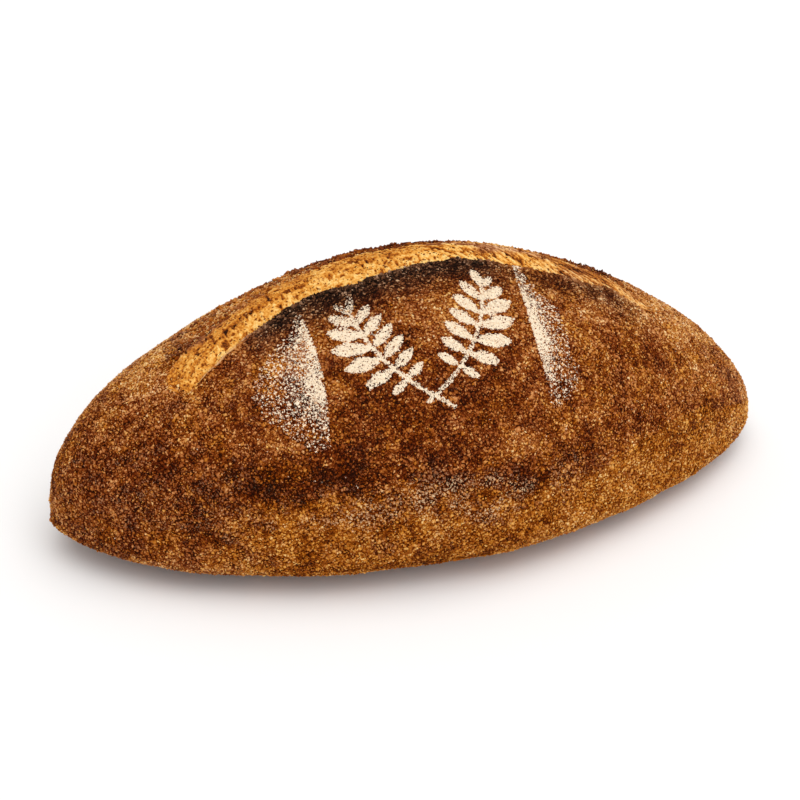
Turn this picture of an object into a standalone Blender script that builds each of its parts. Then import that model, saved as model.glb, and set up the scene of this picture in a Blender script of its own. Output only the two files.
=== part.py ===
"""Whole wheat sourdough loaf: one baked body with a long score along its top.

The loaf lies along X on the flat patch of its underside, with its middle over
the origin. -Y is the front, which carries the flap of the score, +Y is the
back and +Z is up. Sizes are in metres, angles in radians.

The body starts as a sphere with its poles on the X axis. Each ring of the
sphere becomes one cross-section of the loaf and each column of the sphere runs
from tip to tip, so that one column follows the lip of the score and another
follows the back edge of the bloom.
"""

import math
from typing import NamedTuple

import bmesh
import bpy

# The baked body
LENGTH = 0.300
WIDTH = 0.1533
HEIGHT = 0.1041
BASE_FLAT = 0.0015  # how deep the oven floor has flattened the round underside
WAIST_SHARE = 0.237  # height of the widest level, as a share of each section's height
UPPER_SQUARENESS = 2.195  # 2 is an ellipse, more is a fuller shoulder
LOWER_SQUARENESS = 2.42
MIDDLE_SOFTNESS = 0.16  # keeps the crest round where the two ends meet
BLEND_REACH = 0.35  # each end's shape takes over within this share of half the length
NOSE_SHARPNESS = 7.0  # how late the underside turns up to the tip

# The score: one cut along the top, opened by the oven into a bloom behind a raised lip
CUT_LEFT = -0.104
CUT_RIGHT = 0.101
CUT_FADE = 0.022  # length over which the relief dies out at each tip
LIP_MIDDLE = -0.0275  # place of the lip across the top, as a share of the half width
LIP_SWEEP = 0.625  # how far the lip turns to the front towards the tips
LIP_SWEEP_START = 0.13
LIP_WAVE = 0.0019  # the lip wanders to and fro by this much in the middle of the loaf
LIP_WAVE_GROWTH = 0.0128  # and by this share of X more to the right
LIP_WAVE_LENGTH = 0.0695
LIP_WAVE_BACK = 0.012  # X at which the wave stands farthest back
BLOOM_WIDTH = 0.025
BLOOM_NARROWEST = 0.005
BLOOM_REACH = 0.75  # station at which the bloom has closed
LIP_HEIGHT = 0.0020
LIP_REACH = 0.010  # distance over which the flap comes down to the crust in front
LIP_LEAN = 0.0015  # how far the lip leans back over the bloom
BLOOM_SINK = 0.0024  # depth of the groove behind the lip
BLOOM_SWELL = 0.0016
RIM_HEIGHT = 0.0008  # the torn edge behind the bloom stands this proud
RIM_REACH = 0.005

# Facets: rings from tip to tip, and columns round the body
RINGS = 60
BACK_COLUMNS = 20
BLOOM_COLUMNS = 8
FRONT_COLUMNS = 24
COLUMNS = BACK_COLUMNS + BLOOM_COLUMNS + FRONT_COLUMNS

CRUST_COLOUR = (0.19, 0.075, 0.02, 1.0)
CRUST_ROUGHNESS = 0.75

UNDERSIDE = -0.5 * math.pi
ANGLE_STEP = 0.01  # for measuring the slope of an outline
ANGLE_SLACK = 0.0001  # a column this near the lip counts as on it


class End(NamedTuple):
    """How one end narrows in plan and in side view, lifts off the floor and ends in its tip."""

    plan_reach: float
    plan_bluntness: float
    side_reach: float
    side_bluntness: float
    lift: float
    tip_height: float


LEFT_END = End(1.384, 1.75, 1.126, 2.583, 0.011, 0.018)
RIGHT_END = End(1.233, 1.75, 1.451, 1.723, 0.008, 0.015)


class Section(NamedTuple):
    """One cross-section: its half width and the heights of its underside, waist and top."""

    half_width: float
    bottom: float
    waist: float
    top: float


def smoothstep(low, high, value):
    """Rise from 0 at low to 1 at high, level at both ends."""
    share = min(max((value - low) / (high - low), 0.0), 1.0)
    return share * share * (3.0 - 2.0 * share)


def signed_power(value, power):
    """Raise the size of value to a power and keep its sign."""
    return math.copysign(abs(value) ** power, value)


def narrowing(distance, reach, bluntness):
    """Share of the full size that is left at a distance, 0 to 1, from the middle to the tip."""
    return max(1.0 - distance**reach, 0.0) ** (1.0 / bluntness)


def section_at(station):
    """Work out the cross-section at a station from -1, the left tip, to 1, the right tip."""
    softened = math.hypot(station, MIDDLE_SOFTNESS) - MIDDLE_SOFTNESS
    distance = min(softened / (math.hypot(1.0, MIDDLE_SOFTNESS) - MIDDLE_SOFTNESS), 1.0)
    right_share = smoothstep(-BLEND_REACH, BLEND_REACH, station)
    end = End(*(a + (b - a) * right_share for a, b in zip(LEFT_END, RIGHT_END)))
    nose = 1.0 - narrowing(distance, NOSE_SHARPNESS, 2.0)
    bottom = end.lift * distance**2 + (end.tip_height - end.lift) * nose
    side = narrowing(distance, end.side_reach, end.side_bluntness)
    top = end.tip_height + (HEIGHT - end.tip_height) * side
    return Section(
        half_width=0.5 * WIDTH * narrowing(distance, end.plan_reach, end.plan_bluntness),
        bottom=bottom,
        waist=bottom + WAIST_SHARE * (top - bottom),
        top=top,
    )


def outline_point(section, angle):
    """Place a point of the plain body, without the score, as (y, z)."""
    rise = math.sin(angle)
    squareness = UPPER_SQUARENESS if rise >= 0.0 else LOWER_SQUARENESS
    reach = section.top - section.waist if rise >= 0.0 else section.waist - section.bottom
    y = section.half_width * signed_power(math.cos(angle), 2.0 / squareness)
    z = section.waist + reach * signed_power(rise, 2.0 / squareness)
    return y, z


def outline_normal(section, angle):
    """Outward direction of the plain body in the section's plane, as (y, z)."""
    before_y, before_z = outline_point(section, angle - ANGLE_STEP)
    after_y, after_z = outline_point(section, angle + ANGLE_STEP)
    size = math.hypot(after_y - before_y, after_z - before_z)
    return (after_z - before_z) / size, (before_y - after_y) / size


def top_angle(across):
    """Section angle of a point on the upper side, from its y as a share of the half width."""
    return math.acos(signed_power(across, 0.5 * UPPER_SQUARENESS))


def cut_strength(station):
    """How far the score is open at a station: 1 along the cut and 0 beyond its tips."""
    x = 0.5 * LENGTH * station
    opening = smoothstep(CUT_LEFT, CUT_LEFT + CUT_FADE, x)
    return opening * smoothstep(-CUT_RIGHT, CUT_FADE - CUT_RIGHT, -x)


def cut_angles(station, section):
    """Section angles of the bloom's back edge and of the wavy lip, which sweep to the front."""
    sweep = station**4 / (station**4 + LIP_SWEEP_START)
    across = LIP_MIDDLE - LIP_SWEEP * sweep
    width = max(BLOOM_WIDTH * (1.0 - (abs(station) / BLOOM_REACH) ** 3), BLOOM_NARROWEST)
    x = 0.5 * LENGTH * station
    wave = (LIP_WAVE + LIP_WAVE_GROWTH * x) * math.cos(math.tau * (x - LIP_WAVE_BACK) / LIP_WAVE_LENGTH)
    scale = max(section.half_width, BLOOM_WIDTH)
    return top_angle(across + width / scale), top_angle(across + wave / scale)


def column_angle(turn, back_edge, lip):
    """Section angle of a column, from its turn: 0 at the underside, up the back and round to 1."""
    back_turn = BACK_COLUMNS / COLUMNS
    lip_turn = (BACK_COLUMNS + BLOOM_COLUMNS) / COLUMNS
    if turn <= back_turn:
        return UNDERSIDE + (back_edge - UNDERSIDE) * turn / back_turn
    if turn <= lip_turn:
        return back_edge + (lip - back_edge) * (turn - back_turn) / (lip_turn - back_turn)
    return lip + (UNDERSIDE + math.tau - lip) * (turn - lip_turn) / (1.0 - lip_turn)


def relief(angle, back_edge, lip, half_width):
    """Height of the score over the plain body, and how far the flap leans back.

    The flap rises to its lip, the bloom swells out of the groove behind the lip, and
    the torn rim ends the bloom at its back edge and sinks into the back of the loaf.
    """
    if angle > lip - ANGLE_SLACK:
        fall = math.exp(-(angle - lip) * half_width / LIP_REACH)
        return LIP_HEIGHT * fall, LIP_LEAN * fall
    if angle < back_edge:
        return RIM_HEIGHT * math.exp(-(back_edge - angle) * half_width / RIM_REACH), 0.0
    share = (lip - angle) / (lip - back_edge)
    swell = BLOOM_SWELL * math.sin(math.pi * share) - BLOOM_SINK * (1.0 - share) ** 2
    return swell + RIM_HEIGHT * share**4, 0.0


def body_point(station, turn):
    """Place one vertex of the loaf from its station along X and its turn round the section."""
    section = section_at(station)
    back_edge, lip = cut_angles(station, section)
    angle = column_angle(turn, back_edge, lip)
    y, z = outline_point(section, angle)
    if section.half_width > 0.0:
        height, lean = relief(angle, back_edge, lip, section.half_width)
        strength = cut_strength(station)
        normal_y, normal_z = outline_normal(section, angle)
        y += strength * (height * normal_y + lean * normal_z)
        z += strength * (height * normal_z - lean * normal_y)
    return 0.5 * LENGTH * station, y, max(z - BASE_FLAT, 0.0)


def centre_over_origin(mesh):
    """Move the body sideways so that its bounds are centred on the X axis."""
    sides = [vertex.co.y for vertex in mesh.verts]
    middle = 0.5 * (min(sides) + max(sides))
    for vertex in mesh.verts:
        vertex.co.y -= middle


def crust_material():
    """Matte brown crust."""
    material = bpy.data.materials.new("crust")
    material.use_nodes = True
    shader = material.node_tree.nodes["Principled BSDF"]
    shader.inputs["Base Color"].default_value = CRUST_COLOUR
    shader.inputs["Roughness"].default_value = CRUST_ROUGHNESS
    shader.inputs["Metallic"].default_value = 0.0
    return material


def build_loaf(collection):
    """Shape a sphere into the loaf and add it to the collection."""
    body = bmesh.new()
    bmesh.ops.create_uvsphere(body, u_segments=COLUMNS, v_segments=RINGS, radius=1.0)
    for vertex in body.verts:
        across, up, station = vertex.co
        columns_up = (math.atan2(up, across) - UNDERSIDE) / math.tau * COLUMNS
        turn = (round(columns_up) % COLUMNS) / COLUMNS
        vertex.co = body_point(min(max(station, -1.0), 1.0), turn)
    centre_over_origin(body)
    mesh = bpy.data.meshes.new("loaf")
    body.to_mesh(mesh)
    body.free()
    mesh.shade_smooth()
    mesh.materials.append(crust_material())
    loaf = bpy.data.objects.new("loaf", mesh)
    collection.objects.link(loaf)
    return loaf


def main():
    """Clear the scene and build the loaf in a collection of its own."""
    for old in list(bpy.data.objects):
        bpy.data.objects.remove(old, do_unlink=True)
    collection = bpy.data.collections.new("whole wheat sourdough loaf")
    bpy.context.scene.collection.children.link(collection)
    build_loaf(collection)


main()
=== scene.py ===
"""Looks of the whole wheat sourdough loaf.

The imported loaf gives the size. This script builds the crust in its place, the
golden bloom in the score, the coat of bran and meal on the crust, and the flour
that was dusted over a stencil of two crossed sprigs. Sizes are in metres and
angles in radians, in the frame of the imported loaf: X along the loaf, -Y to the
front and Z up.
"""

import itertools
import logging
import math
from collections.abc import Sequence
from dataclasses import dataclass, field, replace
from enum import Enum
from typing import Any

import bpy
import numpy as np
from mathutils import Matrix, Vector


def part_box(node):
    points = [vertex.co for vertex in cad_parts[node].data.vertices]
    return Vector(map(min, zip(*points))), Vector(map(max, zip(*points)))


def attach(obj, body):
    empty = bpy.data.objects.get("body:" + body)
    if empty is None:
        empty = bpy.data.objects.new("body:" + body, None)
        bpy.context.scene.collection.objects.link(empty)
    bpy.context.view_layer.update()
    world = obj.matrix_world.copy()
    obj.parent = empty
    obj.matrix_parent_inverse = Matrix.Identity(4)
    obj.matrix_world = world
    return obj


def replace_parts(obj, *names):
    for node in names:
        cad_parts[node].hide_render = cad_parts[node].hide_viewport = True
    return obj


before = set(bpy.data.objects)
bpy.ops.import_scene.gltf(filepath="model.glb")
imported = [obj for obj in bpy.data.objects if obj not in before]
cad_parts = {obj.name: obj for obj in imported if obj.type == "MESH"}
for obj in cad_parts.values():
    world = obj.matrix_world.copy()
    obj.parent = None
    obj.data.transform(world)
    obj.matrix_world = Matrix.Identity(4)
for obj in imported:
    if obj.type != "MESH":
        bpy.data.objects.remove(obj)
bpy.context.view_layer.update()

LOG = logging.getLogger("loaf")
Floats = np.ndarray

# A pair of numbers: the ends of a rise or a range, a place on the stencil, or two reaches
Span = tuple[float, float]
Triple = tuple[float, float, float]

MM = 0.001
BODY = "root"
NODE = "loaf"


# --- numbers -----------------------------------------------------------------


def smoothstep(low: float, high: float, value: Floats) -> Floats:
    """Rise from 0 at low to 1 at high, level at both ends."""
    share = np.clip((value - low) / (high - low), 0.0, 1.0)
    return share * share * (3.0 - 2.0 * share)


def bell(distance: Floats, reach: float) -> Floats:
    """Fall from 1 at no distance to 1/e at the reach, as e to the minus square of their ratio."""
    return np.exp(-np.square(distance / reach))


def soft_patch(x: Floats, girth: Floats, place: Span, reaches: Span) -> Floats:
    """Fall from 1 at a place on the stencil: a bell along the loaf times a bell round it."""
    return bell(x - place[0], reaches[0]) * bell(girth - place[1], reaches[1])


def signed_power(value: Floats, power: Floats | float) -> Floats:
    """Raise the size of each value to a power and keep its sign."""
    return np.sign(value) * np.abs(value) ** power


def unit(vectors: Floats) -> Floats:
    """The vectors at a length of 1."""
    return vectors / np.linalg.norm(vectors, axis=-1, keepdims=True)


def on_plane(x: Floats, y: Floats) -> Floats:
    """Points of a flat plane, for noise on the stencil or on the opened bloom."""
    return np.stack(np.broadcast_arrays(x, y, 0.0 * x), axis=-1)


class ValueNoise:
    """Smooth random values in space, between -1 and 1.

    Every corner of a cubic lattice holds a random number. A point takes the
    numbers of the eight corners round it, eased between them by smoothstep.
    """

    TABLE = 8192
    STRIDES = np.array((73856093, 19349663, 83492791))

    def __init__(self, seed: int) -> None:
        """Fill the table of random numbers.

        Args:
            seed: Starts the random numbers, so that each run gives the same surface.
        """
        self.numbers = np.random.default_rng(seed).uniform(-1.0, 1.0, self.TABLE)

    def at(self, points: Floats, cell: float | Floats) -> Floats:
        """Read the noise.

        Args:
            points: Places, with the three coordinates last.
            cell: Lattice spacing, or three spacings for a stretched noise.

        Returns:
            One value for each point.
        """
        place = points / cell
        corner = np.floor(place).astype(np.int64)
        share = place - corner
        share = share * share * (3.0 - 2.0 * share)
        total = np.zeros(points.shape[:-1])
        for step in itertools.product((0, 1), repeat=3):
            weight = np.prod(np.where(step, share, 1.0 - share), axis=-1)
            key = np.bitwise_xor.reduce((corner + step) * self.STRIDES, axis=-1)
            total += weight * self.numbers[key % self.TABLE]
        return total

    def layered(self, points: Floats, cell: float | Floats, layers: int) -> Floats:
        """Sum layers of the noise, each at half the spacing and 0.6 of the strength of the last.

        Args:
            points: Places, with the three coordinates last.
            cell: Spacing of the first layer.
            layers: How many layers.

        Returns:
            One value for each point.
        """
        fade = 0.6
        parts = (fade**k * self.at(points + k, cell / 2**k) for k in range(layers))
        return sum(parts) / sum(fade**k for k in range(layers))


# --- the form of the loaf ----------------------------------------------------


@dataclass(frozen=True)
class LoafEnd:
    """How one end narrows in plan and in side view, lifts off the floor and ends in its tip."""

    plan_reach: float
    plan_bluntness: float
    side_reach: float
    side_bluntness: float
    lift: float
    tip_height: float


@dataclass(frozen=True)
class Sections:
    """Cross-sections: their half widths and the heights of their underside, waist and top."""

    half_width: Floats
    bottom: Floats
    waist: Floats
    top: Floats


@dataclass(frozen=True)
class LoafForm:
    """The baked body with its score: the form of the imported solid, with lumps and a hollow.

    A place on it is a station from -1, the left tip, to 1, the right tip, and a
    section angle from -90 degrees at the underside, up the back, over the top at
    90 degrees and down the front to 270 degrees.
    """

    length: float
    width: float
    height: float
    base_flat: float = 1.5 * MM
    waist_share: float = 0.237
    upper_squareness: float = 2.195
    lower_squareness: float = 2.42
    middle_softness: float = 0.16
    blend_reach: float = 0.35
    nose_sharpness: float = 7.0
    left: LoafEnd = LoafEnd(1.384, 1.75, 1.126, 2.583, 11.0 * MM, 18.0 * MM)
    right: LoafEnd = LoafEnd(1.233, 1.75, 1.451, 1.723, 8.0 * MM, 15.0 * MM)
    cut_left: float = -104.0 * MM
    cut_right: float = 101.0 * MM
    cut_fade: float = 22.0 * MM
    lip_middle: float = -0.0275
    lip_sweep: float = 0.625
    lip_sweep_start: float = 0.13
    lip_wave: float = 1.9 * MM
    lip_wave_growth: float = 0.0128
    lip_wave_length: float = 69.5 * MM
    lip_wave_back: float = 12.0 * MM
    bloom_width: float = 25.0 * MM
    bloom_narrowest: float = 5.0 * MM
    bloom_reach: float = 0.75
    bloom_left: float = -103.0 * MM
    bloom_right: float = 96.0 * MM
    bloom_end_widths: Span = (20.5 * MM, 15.0 * MM)
    bloom_closings: Span = (16.0 * MM, 14.0 * MM)
    lip_height: float = 2.0 * MM
    lip_reach: float = 10.0 * MM
    lip_lean: float = 1.5 * MM
    bloom_sink: float = 2.4 * MM
    bloom_swell: float = 1.6 * MM
    rim_height: float = 0.8 * MM
    rim_reach: float = 5.0 * MM
    coat_depth: float = 1.0 * MM
    lump_height: float = 0.45 * MM
    blister_height: float = 0.22 * MM
    lump_size: float = 15.0 * MM
    blister_size: float = 4.0 * MM
    torn_share: float = 0.35
    torn_size: float = 6.0 * MM
    hollow_depth: float = 2.0 * MM
    hollow_place: Span = (-28.0 * MM, 140.0 * MM)
    hollow_reaches: Span = (40.0 * MM, 34.0 * MM)
    lumps: ValueNoise = field(default_factory=lambda: ValueNoise(11))

    UNDERSIDE = -0.5 * math.pi
    GIRTH_PER_RADIAN = 77.0 * MM
    STEP = 1e-3

    @classmethod
    def from_box(cls, low: Vector, high: Vector) -> "LoafForm":
        """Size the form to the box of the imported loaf, whose top is the lip of the score."""
        height = high.z - low.z - cls.lip_height + cls.base_flat
        return cls(high.x - low.x, high.y - low.y, height)

    def x_at(self, station: Floats) -> Floats:
        """Distance along the loaf of some stations."""
        return 0.5 * self.length * station

    def station_at(self, x: Floats) -> Floats:
        """Stations at some distances along the loaf."""
        return 2.0 * x / self.length

    def on_stencil(self, station: Floats, angle: Floats) -> tuple[Floats, Floats]:
        """Places on the flour stencil: x, and girth from the crest down to the front."""
        return self.x_at(station), (angle - 0.5 * math.pi) * self.GIRTH_PER_RADIAN

    def sections(self, station: Floats) -> Sections:
        """Work out the cross-sections at some stations.

        The distance to the middle is softened, so that the crest stays round. Width
        and height shrink as (1 - distance^reach)^(1/bluntness), the underside rises
        with the square of the distance and turns up sharply to the tip.

        Args:
            station: Places along the loaf, -1 to 1.

        Returns:
            Their half widths and heights.
        """
        soft = self.middle_softness
        whole = math.hypot(1.0, soft) - soft
        distance = np.clip((np.hypot(station, soft) - soft) / whole, 0.0, 1.0)
        right = smoothstep(-self.blend_reach, self.blend_reach, station)

        def pick(name: str) -> Floats:
            """Blend a size of the left end into that of the right end."""
            left_value = getattr(self.left, name)
            return left_value + (getattr(self.right, name) - left_value) * right

        plan = (1.0 - distance ** pick("plan_reach")) ** (1.0 / pick("plan_bluntness"))
        side = (1.0 - distance ** pick("side_reach")) ** (1.0 / pick("side_bluntness"))
        nose = 1.0 - np.sqrt(1.0 - distance**self.nose_sharpness)
        lift = pick("lift")
        tip = pick("tip_height")
        bottom = lift * distance**2 + (tip - lift) * nose
        top = tip + (self.height - tip) * side
        waist = bottom + self.waist_share * (top - bottom)
        return Sections(0.5 * self.width * plan, bottom, waist, top)

    def outline(self, station: Floats, angle: Floats) -> Floats:
        """Place points on the plain body, without the score.

        Each section is a superellipse: y goes with cos^(2/squareness) and z with
        sin^(2/squareness), with more reach above the waist than below it.

        Args:
            station: Places along the loaf, -1 to 1.
            angle: Section angles.

        Returns:
            The points.
        """
        section = self.sections(station)
        rise = np.sin(angle)
        power = 2.0 / np.where(rise >= 0.0, self.upper_squareness, self.lower_squareness)
        above = section.top - section.waist
        below = section.waist - section.bottom
        reach = np.where(rise >= 0.0, above, below)
        y = section.half_width * signed_power(np.cos(angle), power)
        z = section.waist + reach * signed_power(rise, power) - self.base_flat
        return np.stack(np.broadcast_arrays(self.x_at(station), y, z), axis=-1)

    def directions(self, station: Floats, angle: Floats) -> tuple[Floats, Floats, Floats]:
        """Unit directions along the loaf, round it to the front, and outwards.

        Args:
            station: Places along the loaf, -1 to 1.
            angle: Section angles.

        Returns:
            The three directions.
        """
        inner = np.clip(station, -1.0 + 2.0 * self.STEP, 1.0 - 2.0 * self.STEP)
        along = self.outline(inner + self.STEP, angle) - self.outline(inner - self.STEP, angle)
        around = self.outline(inner, angle + self.STEP) - self.outline(inner, angle - self.STEP)
        outward = unit(np.cross(around, along))
        along = unit(along)
        return along, np.cross(along, outward), outward

    def arc_scale(self, station: Floats, angle: Floats) -> Floats:
        """Stencil girth for each metre round the loaf.

        Args:
            station: Places along the loaf, -1 to 1.
            angle: Section angles.

        Returns:
            The scale at each place.
        """
        step = self.outline(station, angle + self.STEP) - self.outline(station, angle - self.STEP)
        arc = np.linalg.norm(step, axis=-1) / (2.0 * self.STEP)
        return self.GIRTH_PER_RADIAN / arc

    def top_angle(self, across: Floats) -> Floats:
        """Section angle on the upper side, from y as a share of the half width."""
        return np.arccos(np.clip(signed_power(across, 0.5 * self.upper_squareness), -1.0, 1.0))

    def cut_strength(self, station: Floats) -> Floats:
        """How far the score is open: 1 along the cut and 0 beyond its tips.

        Args:
            station: Places along the loaf, -1 to 1.

        Returns:
            The strength at each station.
        """
        x = self.x_at(station)
        opening = smoothstep(self.cut_left, self.cut_left + self.cut_fade, x)
        return opening * smoothstep(-self.cut_right, self.cut_fade - self.cut_right, -x)

    def cut_angles(self, station: Floats) -> tuple[Floats, Floats]:
        """Section angles of the bloom's back edge and of the wavy lip, which sweep to the front.

        Args:
            station: Places along the loaf, -1 to 1.

        Returns:
            The angles of the back edge and of the lip.
        """
        sweep = station**4 / (station**4 + self.lip_sweep_start)
        across = self.lip_middle - self.lip_sweep * sweep
        closing = 1.0 - (np.abs(station) / self.bloom_reach) ** 3
        width = np.maximum(self.bloom_width * closing, self.bloom_narrowest)
        x = self.x_at(station)
        turn = math.tau * (x - self.lip_wave_back) / self.lip_wave_length
        wave = (self.lip_wave + self.lip_wave_growth * x) * np.cos(turn)
        half_width = np.maximum(self.sections(station).half_width, self.bloom_width)
        back_edge = self.top_angle(across + width / half_width)
        return back_edge, self.top_angle(across + wave / half_width)

    def bloom_share(self, station: Floats, angle: Floats) -> Floats:
        """Place across the groove: 0 at the lip, 1 at the back edge, outside 0 to 1 elsewhere."""
        back_edge, lip = self.cut_angles(station)
        return (lip - angle) / (lip - back_edge)

    def bloom_angles(self, station: Floats) -> tuple[Floats, Floats]:
        """Section angles between which the golden bloom shows.

        Towards the tips of the cut it stays wider than the groove, and it closes
        with a round end, like the edge of a disc of the closing distance.

        Args:
            station: Places along the loaf, -1 to 1.

        Returns:
            The angles at the back and at the front.
        """
        back_edge, lip = self.cut_angles(station)
        half_width = np.maximum(self.sections(station).half_width, self.bloom_width)
        on_left = station < 0.0
        least = np.where(on_left, *self.bloom_end_widths)
        back_edge = np.minimum(back_edge, lip - least / half_width)
        x = self.x_at(station)
        inside = np.where(on_left, x - self.bloom_left, self.bloom_right - x)
        inside = np.clip(inside / np.where(on_left, *self.bloom_closings), 0.0, 1.0)
        closing = np.sqrt(1.0 - (1.0 - inside) ** 2)
        middle = 0.5 * (back_edge + lip)
        return middle + (back_edge - middle) * closing, middle + (lip - middle) * closing

    def relief(self, station: Floats, angle: Floats) -> tuple[Floats, Floats]:
        """Height of the score over the plain body, and how far the flap leans back.

        The flap rises to its lip, the bloom swells out of the groove behind the lip,
        and the torn rim ends the bloom and sinks into the back of the loaf.

        Args:
            station: Places along the loaf, -1 to 1.
            angle: Section angles.

        Returns:
            The height and the lean.
        """
        back_edge, lip = self.cut_angles(station)
        half_width = self.sections(station).half_width
        ahead = np.maximum(angle - lip, 0.0) * half_width
        behind = np.maximum(back_edge - angle, 0.0) * half_width
        flap = np.exp(-ahead / self.lip_reach)
        share = np.clip(self.bloom_share(station, angle), 0.0, 1.0)
        bloom = self.bloom_swell * np.sin(math.pi * share) - self.bloom_sink * (1.0 - share) ** 2
        bloom += self.rim_height * share**4 * np.exp(-behind / self.rim_reach)
        on_flap = angle > lip - self.STEP * self.STEP
        strength = self.cut_strength(station)
        height = np.where(on_flap, self.lip_height * flap, bloom)
        return strength * height, strength * np.where(on_flap, self.lip_lean * flap, 0.0)

    def surface(self, station: Floats, angle: Floats, lift: Floats | float = 0.0) -> Floats:
        """Place points on the finished crust, with the score and the lumps of the dough.

        Args:
            station: Places along the loaf, -1 to 1.
            angle: Section angles.
            lift: Extra height over the crust.

        Returns:
            The points, none of them below the floor.
        """
        points = self.outline(station, angle)
        _, around, outward = self.directions(station, angle)
        height, lean = self.relief(station, angle)
        torn = 1.0 + self.torn_share * self.lumps.at(points + self.length, self.torn_size)
        rough = self.lump_height * self.lumps.at(points, self.lump_size)
        rough += self.blister_height * self.lumps.at(points, self.blister_size)
        rise = torn * height + rough + lift - self._hollow(station, angle)
        inset = self.coat_depth * np.concatenate(
            [outward[..., :2], np.maximum(outward[..., 2:], 0.0)], axis=-1
        )
        points = points + rise[..., None] * outward - (torn * lean)[..., None] * around - inset
        points[..., 2] = np.maximum(points[..., 2], 0.0)
        return points

    def _hollow(self, station: Floats, angle: Floats) -> Floats:
        """Depth of the shallow hollow where the dough drew in, low on the front."""
        x, girth = self.on_stencil(station, angle)
        return self.hollow_depth * soft_patch(x, girth, self.hollow_place, self.hollow_reaches)


# --- meshes ------------------------------------------------------------------


@dataclass
class Shape:
    """A mesh as arrays: points, faces with equal corners in each block, and point values."""

    points: Floats
    faces: list[Floats]
    values: dict[str, Floats] = field(default_factory=dict)
    uvs: Floats | None = None

    def volume(self) -> float:
        """Six times the enclosed volume, positive where the faces point outwards.

        Returns:
            The volume, six times over.
        """
        total = 0.0
        for block in self.faces:
            for k in range(1, block.shape[1] - 1):
                a, b, c = (self.points[block[:, i]] for i in (0, k, k + 1))
                total += float(np.einsum("ij,ij->", a, np.cross(b, c)))
        return total

    def turned_out(self) -> "Shape":
        """The same shape with its faces pointing outwards.

        Returns:
            This shape.
        """
        if self.volume() < 0.0:
            self.faces = [block[:, ::-1] for block in self.faces]
        return self


def closed_tube(rings: Floats, first: Floats, last: Floats) -> Shape:
    """Join rings of points into a closed tube that ends in a point at each end.

    Args:
        rings: Points, by ring, by place round the ring, by coordinate.
        first: The end point before the first ring.
        last: The end point after the last ring.

    Returns:
        The closed shape, pointing outwards.
    """
    count, columns = rings.shape[:2]
    ring, column = np.meshgrid(np.arange(count - 1), np.arange(columns), indexing="ij")
    after = (column + 1) % columns
    here, there = ring * columns, (ring + 1) * columns
    quads = np.stack([here + column, here + after, there + after, there + column], axis=-1)
    around = np.arange(columns)
    following = (around + 1) % columns
    last_ring = (count - 1) * columns
    first_point = np.full(columns, count * columns)
    fan_first = np.stack([first_point, following, around], axis=-1)
    fan_last = np.stack([first_point + 1, last_ring + around, last_ring + following], axis=-1)
    points = np.concatenate([rings.reshape(-1, 3), first[None], last[None]])
    return Shape(points, [quads.reshape(-1, 4), np.concatenate([fan_first, fan_last])]).turned_out()


def with_tips(values: Floats) -> Floats:
    """Values for the points of a closed tube, whose tips take the first of the nearest ring."""
    return np.concatenate([values.ravel(), values[0, :1], values[-1, :1]])


def add_object(name: str, data: bpy.types.ID) -> bpy.types.Object:
    """Put a mesh, light or camera into the scene, at the origin.

    Args:
        name: The object's name.
        data: What it shows or does.

    Returns:
        The new object.
    """
    thing = bpy.data.objects.new(name, data)
    bpy.context.scene.collection.objects.link(thing)
    return thing


def add_piece(
    name: str, shape: Shape, material: bpy.types.Material, smooth: bool = True
) -> bpy.types.Object:
    """Make a shape into a mesh object that rides on the loaf's body.

    Args:
        name: The piece's name.
        shape: Its mesh as arrays.
        material: Its finish.
        smooth: Whether the light runs smoothly over its edges.

    Returns:
        The new object, at the origin.
    """
    mesh = bpy.data.meshes.new(name)
    mesh.vertices.add(len(shape.points))
    mesh.vertices.foreach_set("co", shape.points.astype(np.float32).ravel())
    sizes = np.concatenate([np.full(len(block), block.shape[1]) for block in shape.faces])
    corners = np.concatenate([block.ravel() for block in shape.faces])
    mesh.loops.add(len(corners))
    mesh.loops.foreach_set("vertex_index", corners.astype(np.int32))
    mesh.polygons.add(len(sizes))
    mesh.polygons.foreach_set("loop_start", (np.cumsum(sizes) - sizes).astype(np.int32))
    mesh.update(calc_edges=True)
    for value_name, values in shape.values.items():
        attribute = mesh.attributes.new(value_name, "FLOAT", "POINT")
        attribute.data.foreach_set("value", values.astype(np.float32).ravel())
    if shape.uvs is not None:
        layer = mesh.uv_layers.new(name="OFBake")
        layer.data.foreach_set("uv", shape.uvs.astype(np.float32).ravel())
    if smooth:
        mesh.shade_smooth()
    else:
        mesh.shade_flat()
    mesh.materials.append(material)
    piece = add_object(name, mesh)
    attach(piece, BODY)
    triangles = int((sizes - 2).sum())
    LOG.info("%s: %d points, %d triangles", name, len(shape.points), triangles)
    return piece


# --- materials ---------------------------------------------------------------


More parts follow.
